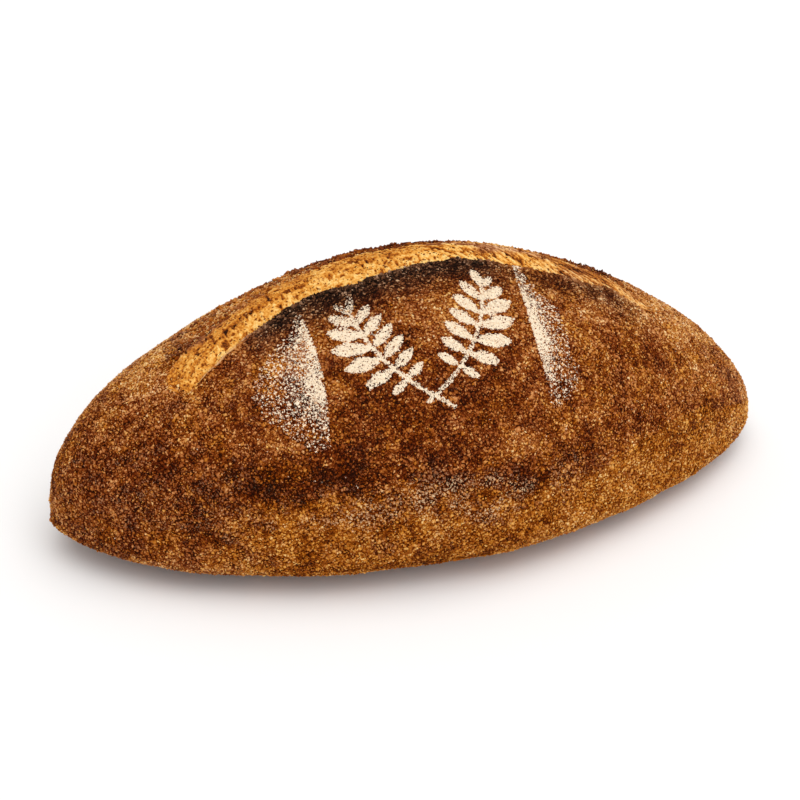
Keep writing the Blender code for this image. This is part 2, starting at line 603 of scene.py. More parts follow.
class Signal:
    """A socket of a material that takes part in sums: an operator adds a Math node."""

    def __init__(self, graph: "Graph", socket: bpy.types.NodeSocket) -> None:
        """Wrap an output socket of a graph."""
        self.graph = graph
        self.socket = socket

    def _math(self, operation: str, first: Any, second: Any) -> "Signal":
        """Add a Math node on two values or signals."""
        return self.graph.read("ShaderNodeMath", {"operation": operation}, {0: first, 1: second})

    def __add__(self, other: "Signal | float") -> "Signal":
        """Sum."""
        return self._math("ADD", self, other)

    def __sub__(self, other: "Signal | float") -> "Signal":
        """Difference."""
        return self._math("SUBTRACT", self, other)

    def __rsub__(self, other: float) -> "Signal":
        """Difference from a number."""
        return self._math("SUBTRACT", other, self)

    def __mul__(self, other: "Signal | float") -> "Signal":
        """Product."""
        return self._math("MULTIPLY", self, other)

    __radd__ = __add__
    __rmul__ = __mul__

    def size(self) -> "Signal":
        """The value without its sign."""
        return self._math("ABSOLUTE", self, 0.0)

    def between(self, low: float, high: float) -> "Signal":
        """Rise smoothly from 0 at low to 1 at high."""
        settings = {"interpolation_type": "SMOOTHSTEP"}
        return self.graph.read(
            "ShaderNodeMapRange", settings, {"Value": self, "From Min": low, "From Max": high}
        )


class Graph:
    """One material and its nodes."""

    def __init__(self, name: str) -> None:
        """Make an empty material that ends in a Principled shader.

        Args:
            name: The material's name.
        """
        self.material = bpy.data.materials.new(name)
        self.material.use_nodes = True
        self.tree = self.material.node_tree
        self.shader = self.tree.nodes["Principled BSDF"]

    def node(self, kind: str, settings: dict[str, Any], inputs: dict[Any, Any]) -> bpy.types.Node:
        """Add a node.

        Args:
            kind: The node's type.
            settings: Its properties, or the stops of a ramp, set first.
            inputs: Values or signals, by socket name or number.

        Returns:
            The node.
        """
        node = self.tree.nodes.new(kind)
        for name, value in settings.items():
            if name == "stops":
                self._set_stops(node.color_ramp, value)
            else:
                setattr(node, name, value)
        self.feed(node, inputs)
        return node

    def feed(self, node: bpy.types.Node, inputs: dict[Any, Any]) -> None:
        """Set or link the sockets of a node.

        Args:
            node: The node.
            inputs: Values or signals, by socket name or number.
        """
        for name, value in inputs.items():
            if isinstance(value, Signal):
                self.tree.links.new(value.socket, node.inputs[name])
            else:
                node.inputs[name].default_value = value

    def read(
        self,
        kind: str,
        settings: dict[str, Any],
        inputs: dict[Any, Any],
        output: str | int = 0,
    ) -> Signal:
        """Add a node and wrap one of its outputs."""
        return Signal(self, self.node(kind, settings, inputs).outputs[output])

    @staticmethod
    def _set_stops(ramp: bpy.types.ColorRamp, stops: Sequence[tuple[float, Triple]]) -> None:
        """Give a colour ramp its stops, from sRGB colours of 0 to 255.

        Args:
            ramp: The ramp of a node.
            stops: Places from 0 to 1, each with its colour.
        """
        while len(ramp.elements) < len(stops):
            ramp.elements.new(1.0)
        for element, (place, colour) in zip(ramp.elements, stops):
            element.position = place
            element.color = (*linear(colour), 1.0)

    def place(self) -> Signal:
        """Object coordinates."""
        return self.read("ShaderNodeTexCoord", {}, {}, "Object")

    def value(self, name: str) -> Signal:
        """A value stored at the points of the mesh."""
        return self.read("ShaderNodeAttribute", {"attribute_name": name}, {}, "Fac")

    def noise(self, size: float, detail: float, place: Signal | None = None) -> Signal:
        """Noise with blobs of about a given size, 0 to 1."""
        where = self.place() if place is None else place
        return self.read(
            "ShaderNodeTexNoise", {}, {"Vector": where, "Scale": 1.0 / size, "Detail": detail}
        )

    def cells(self, size: float) -> Signal:
        """Distance to the nearest point of a scatter with a given spacing, 0 to 1."""
        return self.read(
            "ShaderNodeTexVoronoi", {}, {"Vector": self.place(), "Scale": 1.0 / size}, "Distance"
        )

    def ramp(self, factor: Signal, stops: Sequence[tuple[float, Triple]]) -> Signal:
        """Colours from sRGB stops."""
        return self.read("ShaderNodeValToRGB", {"stops": stops}, {0: factor})

    def mix(self, factor: Signal | float, first: Any, second: Any) -> Signal:
        """Mix two colours, each a signal or an sRGB colour.

        Args:
            factor: Share of the second colour.
            first: The colour at 0.
            second: The colour at 1.

        Returns:
            The mixed colour.
        """
        ends = [
            end if isinstance(end, Signal) else (*linear(end), 1.0) for end in (first, second)
        ]
        inputs = {0: factor, 6: ends[0], 7: ends[1]}
        return self.read("ShaderNodeMix", {"data_type": "RGBA"}, inputs, 2)

    def bump(self, height: Signal, depth: float) -> Signal:
        """A normal tilted by a height of 0 to 1 that stands for a depth in metres."""
        return self.read("ShaderNodeBump", {}, {"Height": height, "Distance": depth})

    def finish(self, inputs: dict[str, Any]) -> bpy.types.Material:
        """Feed the Principled shader and hand over the material."""
        self.feed(self.shader, inputs)
        return self.material


def linear(colour: Triple) -> tuple[float, ...]:
    """Turn an sRGB colour of 0 to 255 into linear light, by the sRGB curve."""
    shares = (part / 255.0 for part in colour)
    return tuple(
        share / 12.92 if share <= 0.04045 else ((share + 0.055) / 1.055) ** 2.4 for share in shares
    )


BROWN_STOPS = (
    (0.00, (240, 206, 158)),
    (0.20, (214, 155, 97)),
    (0.36, (183, 113, 60)),
    (0.50, (145, 74, 28)),
    (0.64, (108, 43, 8)),
    (0.78, (74, 22, 2)),
    (0.90, (50, 13, 2)),
    (1.00, (32, 10, 3)),
)
GOLD_STOPS = (
    (0.00, (248, 212, 144)),
    (0.20, (224, 166, 84)),
    (0.36, (202, 130, 46)),
    (0.50, (166, 92, 18)),
    (0.64, (128, 60, 7)),
    (0.78, (88, 34, 1)),
    (0.90, (56, 18, 1)),
    (1.00, (34, 11, 3)),
)
CHAR_STOPS = (
    (0.00, (206, 172, 140)),
    (0.30, (160, 124, 98)),
    (0.45, (120, 82, 56)),
    (0.60, (82, 50, 32)),
    (0.75, (50, 29, 18)),
    (0.90, (28, 17, 11)),
    (1.00, (16, 10, 7)),
)
TORN_STOPS = (
    (0.00, (252, 208, 128)),
    (0.25, (238, 172, 80)),
    (0.45, (210, 130, 42)),
    (0.65, (160, 84, 20)),
    (0.85, (94, 40, 8)),
    (1.00, (44, 18, 4)),
)
DUSKY_STOPS = (
    (0.00, (232, 184, 140)),
    (0.25, (200, 140, 94)),
    (0.45, (168, 104, 62)),
    (0.65, (128, 70, 36)),
    (0.85, (80, 38, 16)),
    (1.00, (44, 18, 6)),
)
FLOUR_COLOUR = (243, 224, 196)
# Pale colour of the flour film, also used for the painted sheen along the back rim
FILM_AND_SHEEN_COLOUR = (214, 182, 142)


@dataclass(frozen=True)
class CrustFinish:
    """Baked crust and meal, from pale gold to black by how far it is baked and by painted shade,
    and its flour.

    Flour lies where its value is more than one half above a web: the size of a noise
    round its middle, which is 0 along thin lines and largest in the spots between
    them. So thin flour lies in threads, and dense flour is whole but for small pits.
    """

    name: str
    roughness: float = 0.62
    flour_roughness: float = 0.95
    specular: float = 0.02
    mottle: float = 0.24
    mottle_size: float = 0.45 * MM
    grit_size: float = 0.5 * MM
    depth: float = 0.12 * MM
    gaps: bool = False
    gap_size: float = 0.85 * MM
    painted_gap_shade: float = 0.26
    gap_depth: float = 1.5
    web_size: float = 1.0 * MM
    film_level: float = 0.13
    film_edge: Span = (-0.02, 0.10)
    flour_edge: Span = (0.48, 0.52)

    def material(self) -> bpy.types.Material:
        """Make the material from the bake, gold, char, flour and film values of the mesh.

        Returns:
            The material.
        """
        graph = Graph(self.name)
        baked = graph.value("bake") + (graph.noise(self.mottle_size, 3.0) - 0.5) * self.mottle
        height = graph.noise(self.grit_size, 3.0)
        if self.gaps:
            gap = graph.cells(self.gap_size)
            # Painted shade: the gaps between the cells are drawn darker, besides the bump that
            # sinks them
            baked = baked + gap.between(0.25, 0.75) * self.painted_gap_shade
            height = height * 0.5 + (1.0 - gap) * self.gap_depth
        brown = graph.ramp(baked, BROWN_STOPS)
        gilded = graph.mix(graph.value("gold"), brown, graph.ramp(baked, GOLD_STOPS))
        crust = graph.mix(graph.value("char"), gilded, graph.ramp(baked, CHAR_STOPS))
        web = (graph.noise(self.web_size, 2.0) - 0.5).size()
        # The film is flour, and along the back rim painted sheen
        film = graph.value("film") * (self.film_level - web).between(*self.film_edge)
        floured = (graph.value("flour") - web).between(*self.flour_edge)
        filmed = graph.mix(film, crust, FILM_AND_SHEEN_COLOUR)
        return graph.finish(
            {
                "Base Color": graph.mix(floured, filmed, FLOUR_COLOUR),
                "Roughness": floured * (self.flour_roughness - self.roughness) + self.roughness,
                "Specular IOR Level": self.specular,
                "Normal": graph.bump(height, self.depth),
            }
        )


@dataclass(frozen=True)
class BloomFinish:
    """The torn surface that the oven opened along the score, golden or dusky brown."""

    name: str = "golden_bloom"
    roughness: float = 0.68
    specular: float = 0.05
    mottle: float = 1.1
    mottle_size: float = 0.8 * MM
    stretch: Triple = (1.0, 0.6, 1.0)
    thread_size: float = 0.7 * MM
    depth: float = 0.35 * MM
    detail: float = 4.0

    def material(self) -> bpy.types.Material:
        """Make the material from the bake and dusk values of the mesh.

        Returns:
            The material.
        """
        graph = Graph(self.name)
        stretched = {0: graph.place(), 1: self.stretch}
        place = graph.read("ShaderNodeVectorMath", {"operation": "MULTIPLY"}, stretched)
        mottle = graph.noise(self.mottle_size, self.detail, place) - 0.5
        baked = graph.value("bake") + mottle * self.mottle
        golden = graph.ramp(baked, TORN_STOPS)
        dusky = graph.ramp(baked, DUSKY_STOPS)
        return graph.finish(
            {
                "Base Color": graph.mix(graph.value("dusk"), golden, dusky),
                "Roughness": self.roughness,
                "Specular IOR Level": self.specular,
                "Normal": graph.bump(graph.noise(self.thread_size, self.detail), self.depth),
            }
        )


# --- how far the crust is baked ----------------------------------------------


@dataclass(frozen=True)
class OvenMark:
    """A soft patch of the crust that is baked more or less or more golden, or drawn darker as
    painted shade.
    """

    place: Span
    reaches: Span
    bake: float
    gold: float = 0.0

    @classmethod
    def from_mm(cls, row: Sequence[float]) -> "OvenMark":
        """Make a mark from a row whose place and reaches are in millimetres."""
        x, girth, reach_x, reach_girth = (size * MM for size in row[:4])
        return cls((x, girth), (reach_x, reach_girth), *row[4:])


# A row for each mark: x, girth, reach along and reach round in mm, then bake, and gold if any
MARKS_MM = (
    (-8, 62, 50, 22, 0.06, -0.2),
    (-106, 2, 20, 28, -0.14, 0.2),
    (96, 14, 42, 36, -0.17, 0.1),
    (-5, 26, 30, 12, -0.07, -0.1),
    (-138, 70, 34, 60, 0.01, -0.25),
    (-62, -24, 38, 20, -0.25, 0.2),
    (-105, 96, 34, 34, 0.10, 0.1),
    (-118, 52, 20, 24, 0.05, -0.2),
    (-90, 86, 14, 10, 0.06),
    (-35, 120, 30, 12, 0.06),
    (6, 134, 24, 24, 0.04),
    (-52, 86, 26, 9, 0.07),
    (-88, -7, 3, 3, 0.08),
    (-84, -9, 13, 8, -0.12),
    (-28, 85, 10, 6, -0.12),
    (-5, 95, 15, 8, -0.07),
    (-72, 87, 8, 5, 0.13),
    (-85, 76, 8, 6, 0.15),
    (-83, 65, 8, 5, -0.12),
    (-100, 92, 8, 6, 0.13),
    (18, 91, 10, 6, -0.11),
    (18, 104, 9, 5, 0.15),
    (17, 115, 9, 7, 0.10),
    # Painted shade: darker low on the front, where the underside turns in over the floor
    (-30, 150, 46, 15, 0.10),
    (-44, 68, 13, 10, 0.05),
    (-66, 30, 9, 9, -0.05, 0.4),
    (134, 92, 20, 26, -0.04, -0.1),
    (108, 98, 20, 16, 0.08),
    (44, -27, 22, 9, -0.34, 0.6),
    (-17, 101, 34, 10, 0.08, -0.3),
    (52, 132, 20, 26, -0.08),
    (90, 108, 16, 16, -0.04),
    (-121, 50, 10, 26, 0.03),
    (80, 80, 18, 14, 0.05),
)


@dataclass(frozen=True)
class Oven:
    """How the oven coloured the crust, and one mark of painted shade, as a value from 0, pale gold,
    to 1, black.
    """

    form: LoafForm
    level: float = 0.515
    blotches: tuple[Span, ...] = (
        (16.0 * MM, 0.07),
        (5.0 * MM, 0.12),
        (2.6 * MM, 0.10),
        (1.6 * MM, 0.09),
    )
    burn: float = 0.24
    burn_reach: float = 10.0 * MM
    burn_ragged: float = 4.0 * MM
    burn_size: float = 8.0 * MM
    burn_behind: float = 0.5 * MM
    burn_starts: Span = (-78 * MM, -58 * MM)
    burn_fades: Span = (22 * MM, 44 * MM)
    burn_fade: float = 0.75
    burn_return: float = 0.35
    burn_return_x: float = 74 * MM
    burn_return_reach: float = 22 * MM
    foot_girth: float = 95.0 * MM
    foot_ragged: float = 3.0 * MM
    foot_size: float = 10.0 * MM
    foot_edge: Span = (-1.5 * MM, 2.0 * MM)
    foot_starts: Span = (-100 * MM, -70 * MM)
    foot_drop: float = 10 * MM
    foot_drops: Span = (-25 * MM, 25 * MM)
    foot_rise: float = 17 * MM
    foot_rises: Span = (50 * MM, 110 * MM)
    foot_bake: float = 0.036
    foot_gold: float = 0.64
    band_rise: float = 7.0 * MM
    band_x: float = -10 * MM
    band_ends: Span = (50 * MM, 80 * MM)
    band_bake: float = 0.14
    gold_level: float = 0.30
    gold_patches: float = 0.75
    gold_size: float = 7.0 * MM
    gold_calm: float = 0.5
    gold_lightening: float = 0.12
    marks: tuple[OvenMark, ...] = tuple(OvenMark.from_mm(row) for row in MARKS_MM)
    patches: ValueNoise = field(default_factory=lambda: ValueNoise(23))

    def values(self, station: Floats, angle: Floats) -> dict[str, Floats]:
        """Bake, gold and char of places on the crust.

        Args:
            station: Places along the loaf, -1 to 1.
            angle: Section angles.

        Returns:
            The values by name.
        """
        points = self.form.outline(station, angle)
        x, girth = self.form.on_stencil(station, angle)
        foot, band = self._foot(x, girth, points)
        patch = self.patches.layered(points + self.form.width, self.gold_size, 3)
        patch = self.gold_patches * patch * (1.0 - self.gold_calm * foot)
        gold = self.gold_level + patch + self.foot_gold * foot
        gold = np.clip(gold + self._marked(x, girth, "gold"), 0.0, 1.0)
        char = self._char(station, angle, points)
        baked = self.level + self._marked(x, girth, "bake")
        baked = baked + self.foot_bake * foot + self.band_bake * band
        for size, strength in self.blotches:
            baked += strength * self.patches.at(points, size)
        bake = baked + self.burn * char - self.gold_lightening * gold
        return {"bake": bake, "gold": gold, "char": char}

    def _foot(self, x: Floats, girth: Floats, points: Floats) -> tuple[Floats, Floats]:
        """The golden foot of the loaf, and the dark band that runs just above it.

        The foot begins at a ragged line round the front. The line drops a little to
        the right of the middle and rises again to the right end.

        Args:
            x: Distances along the loaf.
            girth: Distances round the loaf from its crest.
            points: The same places as points.

        Returns:
            How much each place is part of the foot and of the band.
        """
        line = self.foot_girth + self.foot_drop * smoothstep(*self.foot_drops, x)
        line = line - self.foot_rise * smoothstep(*self.foot_rises, x)
        ragged = self.foot_ragged * self.patches.layered(points, self.foot_size, 3)
        below = girth - line + ragged
        foot = smoothstep(*self.foot_edge, below) * smoothstep(*self.foot_starts, x)
        ends = smoothstep(*self.band_ends, np.abs(x - self.band_x))
        return foot, bell(below + self.band_rise, self.band_rise) * (1.0 - ends)

    def _char(self, station: Floats, angle: Floats, points: Floats) -> Floats:
        """The burnt strip along the front of the lip, which fades to both sides and forwards.

        Args:
            station: Places along the loaf, -1 to 1.
            angle: Section angles.
            points: The same places as points.

        Returns:
            How burnt each place is, 0 to 1.
        """
        x = points[..., 0]
        _, lip = self.form.cut_angles(station)
        ahead = (angle - lip) * self.form.sections(station).half_width
        ragged = ahead + self.burn_ragged * self.patches.layered(points, self.burn_size, 3)
        again = self.burn_return * bell(x - self.burn_return_x, self.burn_return_reach)
        right = 1.0 - self.burn_fade * smoothstep(*self.burn_fades, x) + again
        strongest = smoothstep(*self.burn_starts, x) * right
        strip = bell(np.maximum(ragged, 0.0), self.burn_reach) * (ahead > -self.burn_behind)
        return strip * strongest * self.form.cut_strength(station)

    def _marked(self, x: Floats, girth: Floats, kind: str) -> Floats:
        """Sum of one kind of change over all marks."""
        return sum(
            getattr(mark, kind) * soft_patch(x, girth, mark.place, mark.reaches)
            for mark in self.marks
        )


# --- the flour stencil -------------------------------------------------------


@dataclass(frozen=True)
class Leaf:
    """One leaf of flour, from its base to its tip on the stencil."""

    base: Floats
    tip: Floats
    width: float
    base_power: float
    tip_power: float

    def axes(self) -> tuple[float, Floats, Floats]:
        """Length, and unit directions to the tip and across.

        Returns:
            The length and the two directions.
        """
        along = self.tip - self.base
        length = float(np.hypot(*along))
        along = along / length
        return length, along, np.array((-along[1], along[0]))

    def half_width(self, share: Floats) -> Floats:
        """Half the width along the leaf: share^base power * (1 - share)^tip power, scaled.

        Args:
            share: Places along it, 0 at the base.

        Returns:
            The half widths.
        """
        inside = np.clip(share, 0.0, 1.0)
        a, b = self.base_power, self.tip_power
        widest = (a / (a + b)) ** a * (b / (a + b)) ** b
        return 0.5 * self.width * inside**a * (1.0 - inside) ** b / widest

    def depth(self, x: Floats, girth: Floats) -> Floats:
        """How far inside the edge a place is; negative outside.

        Args:
            x: Distances along the loaf.
            girth: Distances round the loaf from its crest.

        Returns:
            The depths.
        """
        length, along, across = self.axes()
        dx, dg = x - self.base[0], girth - self.base[1]
        share = (dx * along[0] + dg * along[1]) / length
        beyond = np.maximum(np.maximum(-share, share - 1.0), 0.0) * length
        side = np.abs(dx * across[0] + dg * across[1])
        return self.half_width(share) - side - beyond


@dataclass(frozen=True)
class LeafRow:
    """The leaves on one side of a stem.

    A leaf's place goes from 0 at the top to 1 at the foot. Its length goes with the sine
    of a growing share of half a turn, so that the leaves shorten to both ends, and its
    angle to the stem grows from the start by a power of the place. Angles are in degrees.
    """

    length: float
    slimness: float
    taper_start: float
    taper_span: float
    spread_start: float
    spread_span: float
    spread_power: float

    TAPER_POWER = 0.7

    def length_at(self, place: float) -> float:
        """Length of the leaf at a place."""
        taper = math.sin(math.pi * (self.taper_start + self.taper_span * place))
        return taper**self.TAPER_POWER * self.length

    def spread_at(self, place: float) -> float:
        """Angle between the stem and the leaf at a place."""
        return math.radians(self.spread_start + self.spread_span * place**self.spread_power)


OUTER_LEAVES = LeafRow(15.8 * MM, 0.44, 0.13, 0.73, 34.0, 56.0, 1.3)
INNER_LEAVES = LeafRow(13.4 * MM, 0.385, 0.22, 0.57, 16.0, 72.0, 0.5)


@dataclass(frozen=True)
class Sprig:
    """A curved stem with pairs of leaves that shorten to both ends."""

    foot: Span
    bend: Span
    top: Span
    outer_side: float
    base_power: float
    tip_power: float
    outer: LeafRow = OUTER_LEAVES
    inner: LeafRow = INNER_LEAVES
    stem_width: float = 1.7 * MM
    pairs: int = 7
    first_pair: float = 0.31
    crown: float = 0.94

    AHEAD = 0.02

    def stem(self, share: Floats) -> Floats:
        """Points of the stem: a quadratic curve from the foot by the bend to the top.

        Args:
            share: Places along it, 0 at the foot.

        Returns:
            The points on the stencil.
        """
        foot, bend, top = (np.array(p) for p in (self.foot, self.bend, self.top))
        t = np.asarray(share)[..., None]
        return (1 - t) ** 2 * foot + 2 * t * (1 - t) * bend + t**2 * top

    def leaves(self) -> list[Leaf]:
        """The leaves, by pairs from the top down, each pair opening from the stem's heading.

        Returns:
            Two leaves for each pair.
        """
        leaves = []
        for place in np.linspace(0.0, 1.0, self.pairs):
            share = self.crown + (self.first_pair - self.crown) * place
            base = self.stem(np.array(share))
            ahead = self.stem(np.array(share + self.AHEAD)) - base
            heading = math.atan2(ahead[1], ahead[0])
            for side, row in ((self.outer_side, self.outer), (-self.outer_side, self.inner)):
                length = row.length_at(place)
                turn = heading + side * row.spread_at(place)
                tip = base + length * np.array((math.cos(turn), math.sin(turn)))
                width = row.slimness * length
                leaves.append(Leaf(base, tip, width, self.base_power, self.tip_power))
        return leaves


@dataclass(frozen=True)
class Streak:
    """A fan of flour with one sharp edge, where the stencil ended, that thins out sideways.

    The spans are shares down the streak, or shares of the core's and the fan's width.
    """

    top: Span
    bottom: Span
    side: float
    width: float
    core: float
    bow: float
    top_density: float
    widest: float
    fade: float
    core_density: float = 0.88
    core_fills: Span = (0.08, 0.35)
    core_widens: Span = (0.0, 0.6)
    core_edge: Span = (0.6, 1.3)
    core_least: float = 0.2
    thin_density: float = 0.51
    thin_loss: float = 0.26
    thin_falls: Span = (0.35, 0.9)
    thin_edge: Span = (0.85, 1.1)
    least_width: float = 0.15
    opening: float = 0.85
    opens_from: float = -0.05
    closing: float = 0.40
    closes: Span = (0.20, 0.55)
    soft_end: float = 0.06
    last_flour: float = 1.04

    def local(self, x: Floats, girth: Floats) -> tuple[Floats, Floats]:
        """Share down the streak, and distance from the sharp edge, which bows out.

        Args:
            x: Distances along the loaf.
            girth: Distances round the loaf from its crest.

        Returns:
            The shares and the distances.
        """
        share = (girth - self.top[1]) / (self.bottom[1] - self.top[1])
        edge = self.top[0] + (self.bottom[0] - self.top[0]) * share
        inside = np.clip(share, 0.0, 1.0)
        return share, (x - edge) * self.side + self.bow * 4.0 * inside * (1.0 - inside)

    def density(self, x: Floats, girth: Floats, ragged: Floats) -> Floats:
        """How much of the crust is white.

        A core next to the sharp edge is nearly whole. Beyond it the flour thins out to
        the outer edge of the fan, which widens from the top and narrows to the bottom.

        Args:
            x: Distances along the loaf.
            girth: Distances round the loaf from its crest.
            ragged: How far noise shifts the outer edges.

        Returns:
            The share of white, 0 to 1.
        """
        share, away = self.local(x, girth)
        opened = self.opening * smoothstep(self.opens_from, self.widest, share)
        closed = self.closing * smoothstep(*self.closes, share - self.widest)
        full = self.core_least + (1.0 - self.core_least) * smoothstep(*self.core_widens, share)
        core = (away + ragged) / (self.core * full)
        fan = (away + ragged) / (self.width * (self.least_width + opened - closed))
        gain = (self.core_density - self.top_density) * smoothstep(*self.core_fills, share)
        thick = (self.top_density + gain) * (1.0 - smoothstep(*self.core_edge, core))
        thin = self.thin_density - self.thin_loss * smoothstep(*self.thin_falls, fan)
        thin = thin * (1.0 - smoothstep(*self.thin_edge, fan))
        ends = smoothstep(-self.soft_end, self.soft_end, share)
        ends = ends * (1.0 - smoothstep(self.fade, self.last_flour, share))
        return np.where(away > 0.0, np.maximum(thick, thin) * ends, 0.0)


@dataclass(frozen=True)
class Stencil:
    """All the flour: two crossed sprigs, two streaks and a haze low on the front, and painted sheen
    on the back rim.
    """

    sprigs: tuple[Sprig, ...] = (
        Sprig(
            (-4.0 * MM, 68.0 * MM),
            (-33.2 * MM, 46.5 * MM),
            (-31.6 * MM, 13.0 * MM),
            outer_side=-1.0,
            base_power=0.95,
            tip_power=0.85,
        ),
        Sprig(
            (-13.4 * MM, 64.4 * MM),
            (14.6 * MM, 47.8 * MM),
            (22.6 * MM, 12.3 * MM),
            outer_side=1.0,
            base_power=1.05,
            tip_power=0.8,
            inner=replace(INNER_LEAVES, length=14.2 * MM),
        ),
    )
    streaks: tuple[Streak, ...] = (
        Streak(
            (-48.6 * MM, 12.0 * MM),
            (-52.5 * MM, 77.0 * MM),
            side=-1.0,
            width=24.0 * MM,
            core=7.8 * MM,
            bow=1.5 * MM,
            top_density=0.88,
            widest=0.40,
            fade=0.49,
        ),
        Streak(
            (39.5 * MM, 0.5 * MM),
            (35.6 * MM, 77.0 * MM),
            side=1.0,
            width=15.0 * MM,
            core=7.1 * MM,
            bow=2.2 * MM,
            top_density=0.35,
            widest=0.62,
            fade=0.58,
        ),
    )
    stem_points: int = 60
    coarse_size: float = 5.0 * MM
    fine_size: float = 2.0 * MM
    coarse_ragged: float = 2.0 * MM
    fine_ragged: float = 1.0 * MM
    leaf_flour: float = 0.58
    leaf_edge: float = 2.0 * MM
    leaf_limits: Span = (-0.5, 0.11)
    worn_place: Span = (-34.0 * MM, 8.0 * MM)
    worn_reaches: Span = (12.0 * MM, 10.0 * MM)
    worn_loss: float = 0.14
    streak_flour: float = 0.11
    streak_rise: Span = (1.28, 0.55)
    dusted_from: float = 0.06
    streak_clumps: float = 0.25
    bare: float = 0.1
    haze: float = 1.9
    haze_place: Span = (-16.0 * MM, 105.0 * MM)
    haze_reaches: Span = (46.0 * MM, 9.5 * MM)
    painted_rim_sheen: float = 0.25
    rim_girth: float = -32.0 * MM
    rim_reach: float = 20.0 * MM
    rim_starts: Span = (20.0 * MM, 60.0 * MM)
    left_film: float = 0.17
    left_starts: Span = (50.0 * MM, 95.0 * MM)
    right_film: float = 0.22
    right_starts: Span = (95.0 * MM, 135.0 * MM)
    trace: float = 0.07
    clump_size: float = 7.0 * MM
    clump_level: float = 0.4
    clump_swing: float = 1.6
    clumps: ValueNoise = field(default_factory=lambda: ValueNoise(71))

    def leaf_depth(self, x: Floats, girth: Floats) -> Floats:
        """How far inside the nearest leaf or stem a place is; negative outside.

        Args:
            x: Distances along the loaf.
            girth: Distances round the loaf from its crest.

        Returns:
            The depths.
        """
        deepest = np.full(np.broadcast(x, girth).shape, -1.0)
        for sprig in self.sprigs:
            for leaf in sprig.leaves():
                deepest = np.maximum(deepest, leaf.depth(x, girth))
            for sx, sg in sprig.stem(np.linspace(0.0, 1.0, self.stem_points)):
                away = np.hypot(x - sx, girth - sg)
                deepest = np.maximum(deepest, 0.5 * sprig.stem_width - away)
        return deepest

    def flour(self, x: Floats, girth: Floats) -> Floats:
        """Flour value of places: one half on the edge of a leaf, more inside, less outside.

        In the streaks the value follows the share of the crust that is white. The top
        of the first sprig is worn, as its leaves were dusted thinly.

        Args:
            x: Distances along the loaf.
            girth: Distances round the loaf from its crest.

        Returns:
            The flour values.
        """
        places = on_plane(x, girth)
        coarse = self.clumps.at(places, self.coarse_size)
        fine = self.clumps.at(places, self.fine_size)
        inside = np.clip(self.leaf_depth(x, girth) / self.leaf_edge, *self.leaf_limits)
        worn = soft_patch(x, girth, self.worn_place, self.worn_reaches)
        leaf = self.leaf_flour + inside - self.worn_loss * worn
        ragged = self.coarse_ragged * coarse + self.fine_ragged * fine
        share = np.maximum(*(streak.density(x, girth, ragged) for streak in self.streaks))
        share = np.clip(share * (1.0 + self.streak_clumps * coarse), 0.0, 1.0)
        dusted = smoothstep(0.0, self.dusted_from, share)
        evenly, late = self.streak_rise
        streak = 0.5 + self.streak_flour * (evenly * share + late * share**4) * dusted
        return np.maximum(leaf, streak - self.bare * (1.0 - dusted))

    def film(self, x: Floats, girth: Floats) -> Floats:
        """A thin film in clumps: flour low on the front and as a trace, and painted sheen along the
        back rim.

        Args:
            x: Distances along the loaf.
            girth: Distances round the loaf from its crest.

        Returns:
            How much of each place the film whitens.
        """
        haze = soft_patch(x, girth, self.haze_place, self.haze_reaches)
        # Painted sheen: a pale band along the back rim, drawn with the film's colour
        rim = bell(girth - self.rim_girth, self.rim_reach) * smoothstep(*self.rim_starts, np.abs(x))
        left = smoothstep(*self.left_starts, -x)
        right = smoothstep(*self.right_starts, x)
        film = self.haze * haze + self.painted_rim_sheen * rim + self.trace
        film = film + self.left_film * left + self.right_film * right
        clumps = self.clumps.layered(on_plane(x, girth), self.clump_size, 3)
        return film * np.clip(self.clump_level + self.clump_swing * clumps, 0.0, self.clump_swing)


# --- the crust ---------------------------------------------------------------


